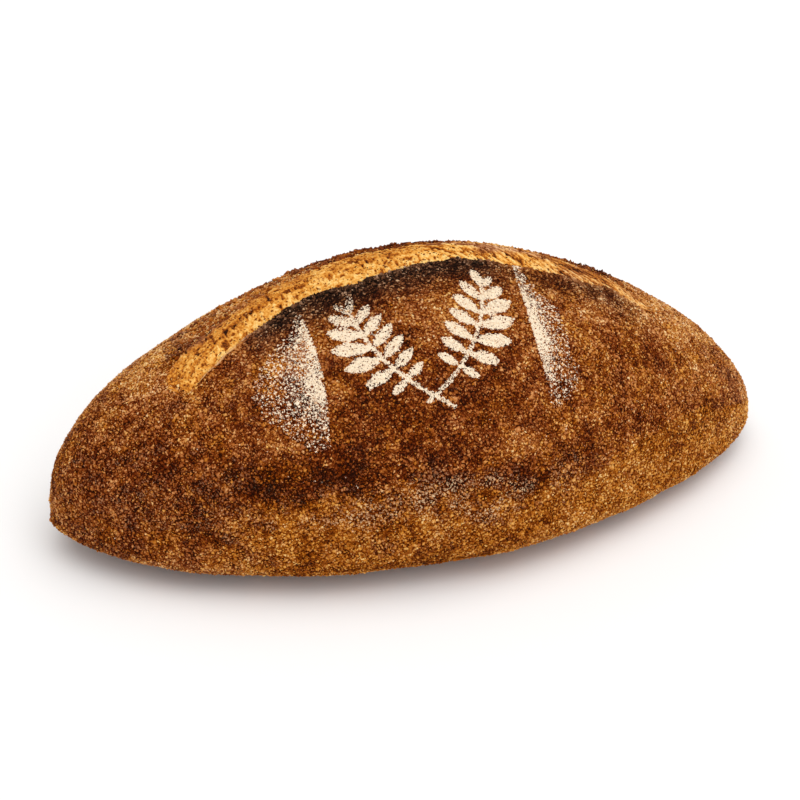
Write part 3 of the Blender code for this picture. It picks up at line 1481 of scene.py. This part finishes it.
@dataclass
class Crust:
    """The closed skin of the loaf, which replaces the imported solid."""

    form: LoafForm
    oven: Oven
    stencil: Stencil
    rings: int = 372
    back_columns: int = 104
    bloom_columns: int = 14
    front_columns: int = 136
    groove: float = 1.6 * MM
    groove_edge: float = 0.02
    painted_crevice_shade: float = 0.09
    flour_loss: float = 0.06
    mottle: float = 0.75

    def columns(self, station: Floats) -> Floats:
        """Section angles of the columns: up the back, across the bloom and down the front.

        Args:
            station: Places along the loaf, -1 to 1.

        Returns:
            The angles, a row for each station.
        """
        back_edge, lip = self.form.cut_angles(station)
        underside = self.form.UNDERSIDE

        def spread(start: Floats, end: Floats, count: int) -> Floats:
            """Even steps from the start up to the last one before the end."""
            share = np.arange(count) / count
            return start + (end - start) * share

        parts = [
            spread(np.full_like(back_edge, underside), back_edge, self.back_columns),
            spread(back_edge, lip, self.bloom_columns),
            spread(lip, np.full_like(lip, underside + math.tau), self.front_columns),
        ]
        return np.concatenate(parts, axis=-1)

    def build(self) -> bpy.types.Object:
        """Build the skin, darker than the meal on it as painted shade in the crevices, and sunk
        under the bloom.

        Returns:
            The piece.
        """
        turn = np.linspace(0.0, math.pi, self.rings + 2)[1:-1, None]
        station = -np.cos(turn)
        angle = self.columns(station)
        station = np.broadcast_to(station, angle.shape)
        share = self.form.bloom_share(station, angle)
        under_bloom = (share > self.groove_edge) & (share < 1.0 - self.groove_edge)
        sunk = np.where(under_bloom, self.groove * self.form.cut_strength(station), 0.0)
        rings = self.form.surface(station, angle, -sunk)
        tips = [self.form.outline(np.array(end), np.array(0.0)) for end in (-1.0, 1.0)]
        shape = closed_tube(rings, *tips)
        fields = self.oven.values(station, angle)
        # Painted shade: the skin shows only in the crevices between the grains, and is drawn darker
        # for the shade there
        fields["bake"] = fields["bake"] + self.painted_crevice_shade
        flour = self.stencil.flour(*self.form.on_stencil(station, angle))
        fields["flour"] = flour - self.flour_loss
        fields["film"] = np.zeros_like(station)
        shape.values = {name: with_tips(values) for name, values in fields.items()}
        finish = CrustFinish("crust_skin", mottle=self.mottle, gaps=True)
        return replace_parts(add_piece("crust", shape, finish.material()), NODE)


# --- the bloom ---------------------------------------------------------------


@dataclass(frozen=True)
class Tearing:
    """What tearing left at some places of the bloom.

    Turned is how far the fibres have turned across the bloom, and drift is a slow noise.
    """

    x: Floats
    inside: Floats
    turned: Floats
    fibre: Floats
    holes: Floats
    past_ledge: Floats
    drift: Floats


@dataclass
class Bloom:
    """The golden dough that rose out of the score, with fibres along it and a torn ledge."""

    form: LoafForm
    rings: int = 640
    top_columns: int = 96
    under_columns: int = 8
    overlap: float = 0.05
    depth: float = 4.0 * MM
    stand: float = 0.75 * MM
    edge_sink: float = 1.4 * MM
    end_sink: float = 0.3 * MM
    fibre_height: float = 0.42 * MM
    fibre_cell: Triple = (5.0 * MM, 0.95 * MM, 5.0 * MM)
    fibre_tilts: Span = (0.15, 0.80)
    fibre_turns: Span = (-20 * MM, 30 * MM)
    fibre_wander: float = 1.2 * MM
    wander_size: float = 11.0 * MM
    strand_share: float = 1.6
    strand_mix: Span = (0.15, 1.0)
    crumb_size: float = 1.5 * MM
    crumb_stretch: Triple = (1.0, 0.62, 1.0)
    hole_size: float = 1.2 * MM
    hole_edge: Span = (0.34, 0.52)
    ledge_share: float = 0.55
    ledge_wander: float = 0.12
    ledge_size: float = 18.0 * MM
    ledge_width: float = 0.07
    ledge_step: float = 0.06
    ledge_height: float = 0.7 * MM
    ledge_bake: float = 0.12
    drift_size: float = 7.0 * MM
    dusk_starts: Span = (0.86, 0.42)
    dusk_spreads: Span = (0.0, 34 * MM)
    dusk_edge: float = 0.22
    dusk_drift: float = 0.20
    dusk_bake: float = 0.10
    ridge_place: Span = (44 * MM, 24 * MM)
    ridge_edge: Span = (0.80, 0.90)
    tail_starts: Span = (46 * MM, 66 * MM)
    tail_dusk: float = 0.45
    tail_drift: float = 0.3
    tail_bake: float = 0.12
    shoulder_place: Span = (54 * MM, 16 * MM)
    shoulder_bake: float = 0.06
    bake: float = 0.244
    drift_bake: float = 0.12
    back_bake: float = 0.20
    back_rise: Span = (0.15, 0.9)
    turned_bake: float = -0.07
    fibre_bake: Span = (-0.34, -0.46)
    painted_hole_shade: float = 0.4
    end_bake: float = 0.16
    end_strength: float = 0.5
    fibres: ValueNoise = field(default_factory=lambda: ValueNoise(31))

    def build(self) -> bpy.types.Object:
        """Build the closed body of the bloom: a detailed top and a plain underside.

        Returns:
            The piece.
        """
        form = self.form
        x = np.linspace(form.bloom_left, form.bloom_right, self.rings + 2)[1:-1, None]
        top = np.linspace(1.0 + self.overlap, -self.overlap, self.top_columns)
        under = np.linspace(-self.overlap, 1.0 + self.overlap, self.under_columns + 2)[1:-1]
        sag = np.sin(math.pi * np.linspace(0.0, 1.0, self.under_columns + 2))[1:-1]
        share = np.concatenate([top, under])[None, :]
        below = np.concatenate([np.zeros(self.top_columns), sag])[None, :]
        station = np.broadcast_to(form.station_at(x), (self.rings, share.shape[1]))
        rings, bake, dusk = self.surface(station, share, below)
        shape = closed_tube(rings, rings[0].mean(axis=0), rings[-1].mean(axis=0))
        shape.values = {"bake": with_tips(bake), "dusk": with_tips(dusk)}
        return add_piece("bloom", shape, BloomFinish().material())

    def surface(
        self, station: Floats, share: Floats, below: Floats | float = 0.0
    ) -> tuple[Floats, Floats, Floats]:
        """Raise the bloom over the plain body.

        Args:
            station: Places along the loaf, -1 to 1.
            share: Places across, 0 at the lip and 1 at the back edge.
            below: How far down to the underside, 0 to 1.

        Returns:
            The points, how far they are baked and how dusky they are.
        """
        form = self.form
        back_edge, lip = form.bloom_angles(station)
        angle = lip + (back_edge - lip) * share
        plain = form.outline(station, angle)
        _, _, outward = form.directions(station, angle)
        behind_lip = np.minimum(angle, form.cut_angles(station)[1] - form.STEP)
        relief, _ = form.relief(station, behind_lip)
        strength = form.cut_strength(station)
        torn = self._torn(plain, share)
        step = smoothstep(-self.ledge_step, self.ledge_step, torn.past_ledge)
        outside = np.maximum(np.maximum(-share, share - 1.0), 0.0) / self.overlap
        rise = relief + self.ledge_height * strength * step * (1.0 - torn.inside)
        rise = rise + self.fibre_height * (torn.fibre - torn.holes) + self.stand - form.coat_depth
        rise = rise - self.edge_sink * outside - self.end_sink * (1.0 - strength)
        rise = rise - self.depth * below
        bake, dusk = self._baked(torn)
        ends = 1.0 - smoothstep(0.0, self.end_strength, strength)
        return plain + rise[..., None] * outward, bake + self.end_bake * ends, dusk

    def _torn(self, plain: Floats, share: Floats) -> Tearing:
        """Work out the fibres, the holes and the ledge.

        The fibres are crumbs mixed with strands, which run along the bloom on the left and
        cross it on the right. The holes are the high spots of a noise.

        Args:
            plain: Points of the plain body.
            share: Their places across the bloom.

        Returns:
            What tearing left there.
        """
        x = plain[..., 0]
        inside = np.clip(share, 0.0, 1.0)
        turned = smoothstep(*self.fibre_turns, x)
        wander = self.fibre_wander * self.fibres.at(plain, self.wander_size)
        flat = on_plane(x, share * self.form.bloom_width + wander)
        first, last = (self._strands(flat, tilt) for tilt in self.fibre_tilts)
        strands = first + (last - first) * turned
        crumbs = self.fibres.layered(flat * self.crumb_stretch, self.crumb_size, 3)
        fewest, most = self.strand_mix
        stranded = self.strand_share * strands + (1.0 - self.strand_share) * crumbs
        fibre = crumbs + stranded * (fewest + (most - fewest) * turned)
        pores = self.fibres.at(flat * self.crumb_stretch + self.form.width, self.hole_size)
        ledge = self.ledge_share + self.ledge_wander * self.fibres.at(flat, self.ledge_size)
        drift = self.fibres.at(plain, self.drift_size)
        holes = smoothstep(*self.hole_edge, pores)
        return Tearing(x, inside, turned, fibre, holes, inside - ledge, drift)

    def _strands(self, flat: Floats, tilt: float) -> Floats:
        """Fibres that cross the bloom at a tilt: a noise stretched along them.

        Args:
            flat: Places on the bloom laid flat.
            tilt: Angle to the length of the loaf.

        Returns:
            The noise, -1 to 1.
        """
        along, across = math.cos(tilt), math.sin(tilt)
        turn = np.array(((along, across, 0), (-across, along, 0), (0, 0, 1)))
        return self.fibres.layered(flat @ turn, np.array(self.fibre_cell), 3)

    def _baked(self, torn: Tearing) -> tuple[Floats, Floats]:
        """How far the bloom is baked and how dusky it is.

        Dusk begins near the back edge and reaches further forward to the right, up to a dusky tail.
        A golden ridge stays free of it. Fibres are paler; holes are darker, as painted shade in
        them.

        Args:
            torn: What tearing left there.

        Returns:
            The bake and the dusk.
        """
        left, right = self.dusk_starts
        start = left + (right - left) * smoothstep(*self.dusk_spreads, torn.x)
        beyond = torn.inside + self.dusk_drift * torn.drift - start
        ridge = smoothstep(*self.ridge_edge, torn.inside) * self._patch(torn.x, self.ridge_place)
        dusk = smoothstep(0.0, self.dusk_edge, beyond) * (1.0 - ridge)
        tail = smoothstep(*self.tail_starts, torn.x)
        dusk = dusk + (self.tail_dusk + self.tail_drift * torn.drift - dusk) * tail
        along, crossing = self.fibre_bake
        bake = self.bake + self.dusk_bake * dusk + self.drift_bake * torn.drift
        bake = bake + self.back_bake * smoothstep(*self.back_rise, torn.inside)
        bake = bake + self.turned_bake * torn.turned + self.tail_bake * tail
        bake = bake + self.shoulder_bake * self._patch(torn.x, self.shoulder_place)
        bake = bake + (along + (crossing - along) * torn.turned) * torn.fibre
        # Painted shade: the holes are drawn darker for the shade in them, besides being sunk
        bake = bake + self.painted_hole_shade * torn.holes
        return bake + self.ledge_bake * bell(torn.past_ledge, self.ledge_width), dusk

    @staticmethod
    def _patch(x: Floats, place: Span) -> Floats:
        """A soft patch round a place along the bloom, given as x and reach."""
        return bell(x - place[0], place[1])


@dataclass
class TornEdge:
    """The thin pale edge of the flap at its left end, where it peeled up."""

    form: LoafForm
    oven: Oven
    rings: int = 160
    sides: int = 8
    radius: float = 0.42 * MM
    start: float = -92.0 * MM
    end: float = -64.0 * MM
    stand: float = 0.3 * MM
    blunt_end: float = 0.02
    unevenness: float = 0.9
    uneven_size: float = 2.0 * MM
    pale_ends: Span = (-74 * MM, -58 * MM)
    pale_bake: float = -0.24
    bake: float = 0.04
    film: float = 0.35
    wobble: ValueNoise = field(default_factory=lambda: ValueNoise(83))

    def build(self) -> bpy.types.Object:
        """Build a closed cord of uneven thickness along the lip.

        Returns:
            The piece.
        """
        form = self.form
        x = np.linspace(self.start, self.end, self.rings)
        station = form.station_at(x)
        angle = form.cut_angles(station)[1] + 2.0 * form.STEP
        middle = form.surface(station, angle, self.stand)
        _, around, outward = form.directions(station, angle)
        uneven = 1.0 + self.unevenness * self.wobble.layered(middle, self.uneven_size, 3)
        share = np.linspace(self.blunt_end, 1.0 - self.blunt_end, self.rings)
        narrowing = np.sqrt(np.sin(math.pi * share))
        radius = self.radius * uneven * narrowing
        turn = (math.tau * np.arange(self.sides) / self.sides)[:, None]
        spoke = np.cos(turn) * around[:, None, :] + np.sin(turn) * outward[:, None, :]
        rings = middle[:, None, :] + radius[:, None, None] * spoke
        shape = closed_tube(rings, middle[0], middle[-1])
        fields = self.oven.values(station, angle)
        pale = 1.0 - smoothstep(*self.pale_ends, x)
        fields["bake"] = fields["bake"] + self.pale_bake * pale + self.bake
        fields["film"] = self.film * pale
        fields["flour"] = np.zeros_like(x)
        shape.values = {
            name: with_tips(np.repeat(values[:, None], self.sides, axis=1))
            for name, values in fields.items()
        }
        return add_piece("torn_edge", shape, CrustFinish("torn_crust").material())


# --- the coat of bran and meal -----------------------------------------------


class GrainKind(Enum):
    """What lies on the loaf: name, size, thickness share, bake shift and lift."""

    TOASTED = ("toasted_meal", 0.94 * MM, 0.85, 0.00, 0.06)
    DARK = ("dark_meal", 0.90 * MM, 0.85, 0.12, 0.00)
    PALE = ("pale_meal", 0.76 * MM, 0.90, -0.18, 0.22)
    RED = ("red_meal", 0.86 * MM, 0.80, 0.04, 0.06)
    FLAKE = ("bran_flakes", 1.06 * MM, 0.50, -0.05, 0.18)
    RIM = ("rim_crumbs", 1.60 * MM, 0.80, 0.27, 0.28)
    SPECK = ("bloom_specks", 0.66 * MM, 0.70, 0.12, 0.12)
    LIP = ("lip_crumbs", 1.20 * MM, 0.80, 0.00, 0.14)

    def __init__(self, title: str, size: float, flatness: float, bake: float, lift: float) -> None:
        """Keep the sizes of the kind.

        Args:
            title: The piece's name.
            size: How large its grains are.
            flatness: Their thickness as a share of their size.
            bake: How much more baked they are than the crust.
            lift: How far they stand out, as a share of their size.
        """
        self.title = title
        self.size = size
        self.flatness = flatness
        self.bake = bake
        self.lift = lift


COAT_KINDS = (GrainKind.TOASTED, GrainKind.DARK, GrainKind.PALE, GrainKind.RED, GrainKind.FLAKE)


class Pebble:
    """A grain with eight faces: a point above, a ring of four points, and a point below."""

    RING = 4
    TOP = 0.85
    JITTER = 0.32
    # Painted light and shade: a bake shift for each point, lighter at the top point as a painted
    # highlight, darker at the ring and most of all at the bottom point as painted shade where the
    # grain meets the crust
    PAINTED_LIGHT_AND_SHADE = np.array([-0.10] + [0.06] * RING + [0.32])
    DUSTED = np.array([0.03] + [-0.01] * RING + [-0.16])
    WAIST = 0.05
    UV_MARGIN = 0.06
    LOWEST = 0.02 * MM

    def __init__(self) -> None:
        """Work out the points, the faces and a flat net of the faces."""
        turn = math.tau * np.arange(self.RING) / self.RING
        ring = np.stack([np.cos(turn), np.sin(turn), np.full(self.RING, self.WAIST)], axis=-1)
        self.points = np.concatenate([[(0.0, 0.0, self.TOP)], ring, [(0.0, 0.0, -1.0)]])
        faces = []
        net = []
        for k in range(self.RING):
            here, after = 1 + k, 1 + (k + 1) % self.RING
            faces += [(0, here, after), (self.RING + 1, after, here)]
            net += [(k + 0.5, 2.0), (k, 1.0), (k + 1.0, 1.0)]
            net += [(k + 0.5, 0.0), (k + 1.0, 1.0), (k, 1.0)]
        self.faces = np.array(faces)
        self.net = np.array(net) / (self.RING, 2.0)

    def strewn(
        self, centres: Floats, frames: Floats, sizes: Floats, rng: np.random.Generator
    ) -> Shape:
        """Copy the grain to many places, each turned, stretched and made uneven.

        Args:
            centres: The grains' middles.
            frames: For each grain its three unit axes, one a row, the last outwards.
            sizes: Half sizes along those axes.
            rng: Gives the random unevenness.

        Returns:
            One shape, with a cell of the UV map for each grain.
        """
        count = len(centres)
        jitter = self.JITTER * rng.uniform(-1.0, 1.0, (count, *self.points.shape))
        local = (self.points + jitter) * sizes[:, None, :]
        points = centres[:, None, :] + np.einsum("nki,nij->nkj", local, frames)
        points[..., 2] = np.maximum(points[..., 2], self.LOWEST)
        faces = self.faces[None] + len(self.points) * np.arange(count)[:, None, None]
        side = math.ceil(math.sqrt(count))
        cell = np.stack([np.arange(count) % side, np.arange(count) // side], axis=-1)
        net = self.UV_MARGIN + (1.0 - 2.0 * self.UV_MARGIN) * self.net
        uvs = (cell[:, None, :] + net) / side
        return Shape(points.reshape(-1, 3), [faces.reshape(-1, 3)], {}, uvs)


@dataclass
class Grains:
    """Grains strewn on the loaf, each with its own shape, colour and dusting of flour.

    The scale gives the middle and the spread of the logarithm of a grain's size.
    """

    form: LoafForm
    oven: Oven
    stencil: Stencil
    finish: bpy.types.Material
    rng: np.random.Generator
    scale: Span = (0.03, 0.30)
    scale_limit: float = 0.45
    stretch: Span = (0.62, 1.4)
    tilt: float = 0.25
    bake_spread: float = 0.068
    char_spread: float = 0.10
    gold_spread: float = 0.3
    film_spread: Span = (0.3, 1.7)
    flour_spread: float = 0.035

    def strew(
        self, kind: GrainKind, station: Floats, angle: Floats, centres: Floats
    ) -> bpy.types.Object:
        """Build the grains of one kind.

        Args:
            kind: Their size, shape and colour.
            station: Places along the loaf, -1 to 1.
            angle: Section angles.
            centres: The surface under each grain.

        Returns:
            The piece.
        """
        count = len(station)
        scale = np.exp(np.minimum(self.rng.normal(*self.scale, count), self.scale_limit))
        stretch = self.rng.uniform(*self.stretch, (count, 3))
        sizes = 0.5 * kind.size * scale[:, None] * stretch
        sizes[:, 2] *= kind.flatness
        frames = self._frames(station, angle)
        centres = centres + kind.lift * kind.size * frames[:, 2]
        shape = Pebble().strewn(centres, frames, sizes, self.rng)
        self._dress(shape, kind, station, angle, centres)
        return add_piece(kind.title, shape, self.finish, smooth=False)

    def _frames(self, station: Floats, angle: Floats) -> Floats:
        """Axes that lie on the crust, turned about it at random and tipped a little.

        Args:
            station: Places along the loaf, -1 to 1.
            angle: Section angles.

        Returns:
            Three unit axes for each grain, one a row.
        """
        along, around, outward = self.form.directions(station, angle)
        turn = self.rng.uniform(0.0, math.tau, (len(station), 1))
        tip = self.rng.normal(0.0, self.tilt, (len(station), 2))
        up = unit(outward + tip[:, :1] * along + tip[:, 1:] * around)
        first = np.cos(turn) * along + np.sin(turn) * around
        first = unit(first - np.einsum("ij,ij->i", first, up)[:, None] * up)
        return np.stack([first, np.cross(up, first), up], axis=1)

    def _dress(
        self, shape: Shape, kind: GrainKind, station: Floats, angle: Floats, centres: Floats
    ) -> None:
        """Give each grain its own bake, gold and film, and each of its points its flour.

        A point's place on the stencil is the grain's place plus the point's distance
        from the middle of the grain, along and round the loaf.

        Args:
            shape: The grains' mesh.
            kind: Their kind.
            station: Places along the loaf, -1 to 1.
            angle: Section angles.
            centres: The grains' middles.
        """
        count, corners = len(station), len(Pebble.PAINTED_LIGHT_AND_SHADE)
        values = self.oven.values(station, angle)
        spread = self.bake_spread + self.char_spread * values["char"]
        own = values["bake"] + kind.bake + self.rng.normal(0.0, 1.0, count) * spread
        gold = values["gold"] + self.rng.normal(0.0, self.gold_spread, count)
        x, girth = self.form.on_stencil(station, angle)
        # The film holds the flour film and the painted sheen along the back rim
        film = self.stencil.film(x, girth) * self.rng.uniform(*self.film_spread, count)
        along, around, _ = self.form.directions(station, angle)
        offset = shape.points.reshape(count, corners, 3) - centres[:, None, :]
        x = x[:, None] + np.einsum("nki,ni->nk", offset, along)
        scale = self.form.arc_scale(station, angle)
        girth = girth[:, None] + np.einsum("nki,ni->nk", offset, around) * scale[:, None]
        own_flour = self.rng.normal(0.0, self.flour_spread, count)[:, None] + Pebble.DUSTED
        shape.values = {
            # The bake of each point carries the painted highlight on the grain's top and the
            # painted shade below it
            "bake": (own[:, None] + Pebble.PAINTED_LIGHT_AND_SHADE).ravel(),
            "gold": np.repeat(np.clip(gold, 0.0, 1.0), corners),
            "char": np.repeat(values["char"], corners),
            "film": (film[:, None] * (Pebble.PAINTED_LIGHT_AND_SHADE < 0.0)).ravel(),
            "flour": (self.stencil.flour(x, girth) + own_flour).ravel(),
        }


@dataclass
class Coat:
    """Bran and meal all over the crust, with coarse crumbs on the rim and specks on the bloom.

    The rim and speck spans are shares of the bloom's width. The lip's crumbs lie past the
    lip by a distance with a middle and a spread.
    """

    form: LoafForm
    grains: Grains
    bloom: Bloom
    per_kind: int = 22500
    rim_count: int = 1400
    speck_count: int = 1500
    lip_count: int = 1500
    end_fade: float = 16.0 * MM
    end_margin: float = 4.0 * MM
    edge_jitter: float = 0.8 * MM
    lip_gap: float = 0.004
    under_share: float = 0.35
    under_slope: float = -0.86
    resting_height: float = 0.4 * MM
    rim_span: Span = (0.97, 1.9)
    speck_span: Span = (0.03, 0.97)
    lip_span: Span = (-76 * MM, 94 * MM)
    lip_past: Span = (0.5 * MM, 0.6 * MM)
    spare: float = 1.3
    seed: int = 5

    PLASTIC_NUMBER = 1.32471795724474602596
    RINGS = 500
    COLUMNS = 721
    SHAKE = 0.0016

    def build(self) -> list[bpy.types.Object]:
        """Build one piece for each kind of grain.

        Returns:
            The pieces.
        """
        rng = np.random.default_rng(self.seed + 1)
        count = self.per_kind * len(COAT_KINDS)
        station, angle = self.places(int(count * self.spare))
        keep = self._kept(station, angle, rng)
        station, angle = station[keep][:count], angle[keep][:count]
        parts = np.array_split(rng.permutation(len(station)), len(COAT_KINDS))
        pieces = [
            self.grains.strew(
                kind, station[part], angle[part], self.form.surface(station[part], angle[part])
            )
            for kind, part in zip(COAT_KINDS, parts)
        ]
        return pieces + [self._rim(rng), self._specks(rng), self._lip(rng)]

    def places(self, count: int) -> tuple[Floats, Floats]:
        """Spread places evenly over the loaf, in an order that stays even when it is cut short.

        A sequence that steps by powers of the plastic number fills a square evenly and
        gives two numbers to each place. The first picks a ring by the area up to it, the
        second a section angle by the area up to it on its ring.

        Args:
            count: How many places.

        Returns:
            Their stations and section angles.
        """
        stations = -np.cos(np.linspace(0.0, math.pi, self.RINGS))[1:-1]
        angles = np.linspace(0.0, math.tau, self.COLUMNS) + self.form.UNDERSIDE
        points = self.form.outline(stations[:, None], angles[None, :])
        arcs = np.linalg.norm(np.diff(points, axis=1), axis=-1)
        along = np.linalg.norm(np.gradient(points, axis=0), axis=-1)[:, 1:]
        areas = arcs * along
        ring_share = np.cumsum(areas.sum(axis=1))
        ring_share /= ring_share[-1]
        column_share = np.cumsum(areas, axis=1)
        column_share /= column_share[:, -1:]
        index = np.arange(count)
        rng = np.random.default_rng(self.seed)
        shakes = [rng.uniform(-1, 1, count) * self.SHAKE for _ in range(2)]
        second = (0.5 + index / self.PLASTIC_NUMBER**2 + shakes[0]) % 1.0
        first = np.clip((0.5 + index / self.PLASTIC_NUMBER) % 1.0 + shakes[1], 0.0, 1.0)
        ring = np.interp(first, ring_share, np.arange(len(stations)))
        rows = np.rint(ring).astype(int)
        flat = (column_share + np.arange(len(stations))[:, None]).ravel()
        hit = np.searchsorted(flat, rows + second) - rows * column_share.shape[1]
        hit = np.clip(hit, 0, len(angles) - 2)
        station = np.interp(ring, np.arange(len(stations)), stations)
        angle = angles[hit] + rng.uniform(0, 1, count) * (angles[1] - angles[0])
        return station, angle

    def _kept(self, station: Floats, angle: Floats, rng: np.random.Generator) -> Floats:
        """Whether a place keeps its grain: none on the bloom, and few on the underside.

        Args:
            station: Places along the loaf, -1 to 1.
            angle: Section angles.
            rng: Gives the random numbers.

        Returns:
            True where a grain stays.
        """
        back_edge, lip = self.form.bloom_angles(station)
        margin = rng.normal(0.0, self.edge_jitter, len(station))
        margin = margin / self.form.sections(station).half_width
        on_bloom = (angle > back_edge + margin) & (angle < lip - self.lip_gap)
        x = self.form.x_at(station)
        to_end = np.minimum(x - self.form.bloom_left, self.form.bloom_right - x)
        inside = to_end > self.end_fade * rng.uniform(0.0, 1.0, len(station)) ** 2
        _, _, outward = self.form.directions(station, angle)
        left_out = rng.uniform(0.0, 1.0, len(station)) > self.under_share
        under = (outward[:, 2] < self.under_slope) & left_out
        resting = self.form.outline(station, angle)[:, 2] < self.resting_height
        return ~(on_bloom & inside) & ~under & ~resting

    def _across(
        self, count: int, span: Span, rng: np.random.Generator
    ) -> tuple[Floats, Floats, Floats]:
        """Stations, shares of the bloom's width in a span, and section angles, at random.

        Args:
            count: How many places.
            span: The lowest and highest share.
            rng: Gives the random numbers.

        Returns:
            The stations, shares and angles.
        """
        left, right = self.form.bloom_left, self.form.bloom_right
        x = rng.uniform(left + self.end_margin, right - self.end_margin, count)
        station = self.form.station_at(x)
        share = rng.uniform(*span, count)
        back_edge, lip = self.form.bloom_angles(station)
        return station, share, lip + (back_edge - lip) * share

    def _rim(self, rng: np.random.Generator) -> bpy.types.Object:
        """Build the coarse crumbs that stand along the torn rim behind the bloom.

        Args:
            rng: Gives the random numbers.

        Returns:
            The piece.
        """
        station, _, angle = self._across(self.rim_count, self.rim_span, rng)
        centres = self.form.surface(station, angle)
        return self.grains.strew(GrainKind.RIM, station, angle, centres)

    def _lip(self, rng: np.random.Generator) -> bpy.types.Object:
        """Build the crumbs that make the edge of the flap ragged.

        Args:
            rng: Gives the random numbers.

        Returns:
            The piece.
        """
        station = self.form.station_at(rng.uniform(*self.lip_span, self.lip_count))
        past = rng.normal(*self.lip_past, self.lip_count)
        angle = self.form.cut_angles(station)[1] + past / self.form.sections(station).half_width
        centres = self.form.surface(station, angle)
        return self.grains.strew(GrainKind.LIP, station, angle, centres)

    def _specks(self, rng: np.random.Generator) -> bpy.types.Object:
        """Build the dark specks that stick to the bloom.

        Args:
            rng: Gives the random numbers.

        Returns:
            The piece.
        """
        station, share, angle = self._across(self.speck_count, self.speck_span, rng)
        centres = self.bloom.surface(station, share)[0]
        return self.grains.strew(GrainKind.SPECK, station, angle, centres)


# --- the studio --------------------------------------------------------------


@dataclass(frozen=True)
class Lamp:
    """A soft light from far away: its place, strength and width in the sky. Angles in degrees."""

    name: str
    azimuth: float
    elevation: float
    strength: float
    spread: float


@dataclass
class Studio:
    """Camera, lights and a white floor that runs out of sight."""

    azimuth: float = -18.55
    elevation: float = 31.0
    distance: float = 0.9
    lens: float = 100.45
    aim_height: float = 43.5 * MM
    clip_end: float = 50.0
    shift: Span = (-0.0171, -0.0019)
    lamps: tuple[Lamp, ...] = (
        Lamp("front_light", 0.0, 45.0, 1.13, 60.0),
        Lamp("top_light", 0.0, 80.0, 1.03, 60.0),
        Lamp("side_light", 80.0, 60.0, 0.33, 50.0),
    )
    light_colour: Triple = (252, 253, 255)
    room_light: float = 0.48
    floor_half: float = 6.0
    floor_colour: Triple = (0.958, 0.944, 0.924)
    floor_roughness: float = 0.9

    def build(self) -> None:
        """Make the camera, the lights, the world and the floor."""
        self._camera()
        for lamp in self.lamps:
            self._light(lamp)
        world = bpy.data.worlds.new("studio")
        world.use_nodes = True
        background = world.node_tree.nodes["Background"]
        background.inputs["Color"].default_value = (1.0, 1.0, 1.0, 1.0)
        background.inputs["Strength"].default_value = self.room_light
        scene = bpy.context.scene
        scene.world = world
        scene.view_settings.view_transform = "Standard"
        scene.view_settings.look = "None"
        self._floor()

    @staticmethod
    def _toward(azimuth: float, elevation: float) -> Vector:
        """Unit direction from the loaf to a place at an azimuth and elevation in degrees.

        Args:
            azimuth: Turn from the front to the right.
            elevation: Height above level.

        Returns:
            The direction.
        """
        turn, rise = math.radians(azimuth), math.radians(elevation)
        level = math.cos(rise)
        return Vector((math.sin(turn) * level, -math.cos(turn) * level, math.sin(rise)))

    def _camera(self) -> None:
        """Stand the camera where the loaf is seen from, aimed at its middle."""
        data = bpy.data.cameras.new("camera")
        data.lens = self.lens
        data.shift_x, data.shift_y = self.shift
        data.clip_end = self.clip_end
        camera = add_object("camera", data)
        back = self._toward(self.azimuth, self.elevation)
        place = Vector((0.0, 0.0, self.aim_height)) + self.distance * back
        turn = back.to_track_quat("Z", "Y").to_matrix().to_4x4()
        camera.matrix_world = Matrix.Translation(place) @ turn
        bpy.context.scene.camera = camera

    def _light(self, lamp: Lamp) -> None:
        """Light the loaf from far away, softly.

        Args:
            lamp: Its place, strength and width.
        """
        data = bpy.data.lights.new(lamp.name, "SUN")
        data.energy = lamp.strength
        data.angle = math.radians(lamp.spread)
        data.color = linear(self.light_colour)
        back = self._toward(lamp.azimuth, lamp.elevation)
        add_object(lamp.name, data).rotation_euler = back.to_track_quat("Z", "Y").to_euler()

    def _floor(self) -> None:
        """Lay the floor: one square round the loaf."""
        mesh = bpy.data.meshes.new("floor")
        signs = ((-1, -1), (1, -1), (1, 1), (-1, 1))
        corners = [(a * self.floor_half, b * self.floor_half, 0.0) for a, b in signs]
        mesh.from_pydata(corners, [], [(0, 1, 2, 3)])
        white = {
            "Base Color": (*self.floor_colour, 1.0),
            "Roughness": self.floor_roughness,
            "Specular IOR Level": 0.0,
        }
        mesh.materials.append(Graph("white_floor").finish(white))
        floor = add_object("floor", mesh)


def main() -> None:
    """Build the looks in order: the crust, the bloom, the torn edge, the coat and the studio."""
    logging.basicConfig(level=logging.INFO, format="%(message)s")
    form = LoafForm.from_box(*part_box(NODE))
    oven = Oven(form)
    stencil = Stencil()
    bloom = Bloom(form)
    Crust(form, oven, stencil).build()
    bloom.build()
    TornEdge(form, oven).build()
    finish = CrustFinish("bran_and_meal", roughness=0.55).material()
    grains = Grains(form, oven, stencil, finish, np.random.default_rng(17))
    Coat(form, grains, bloom).build()
    Studio().build()


if __name__ == "__main__":
    main()
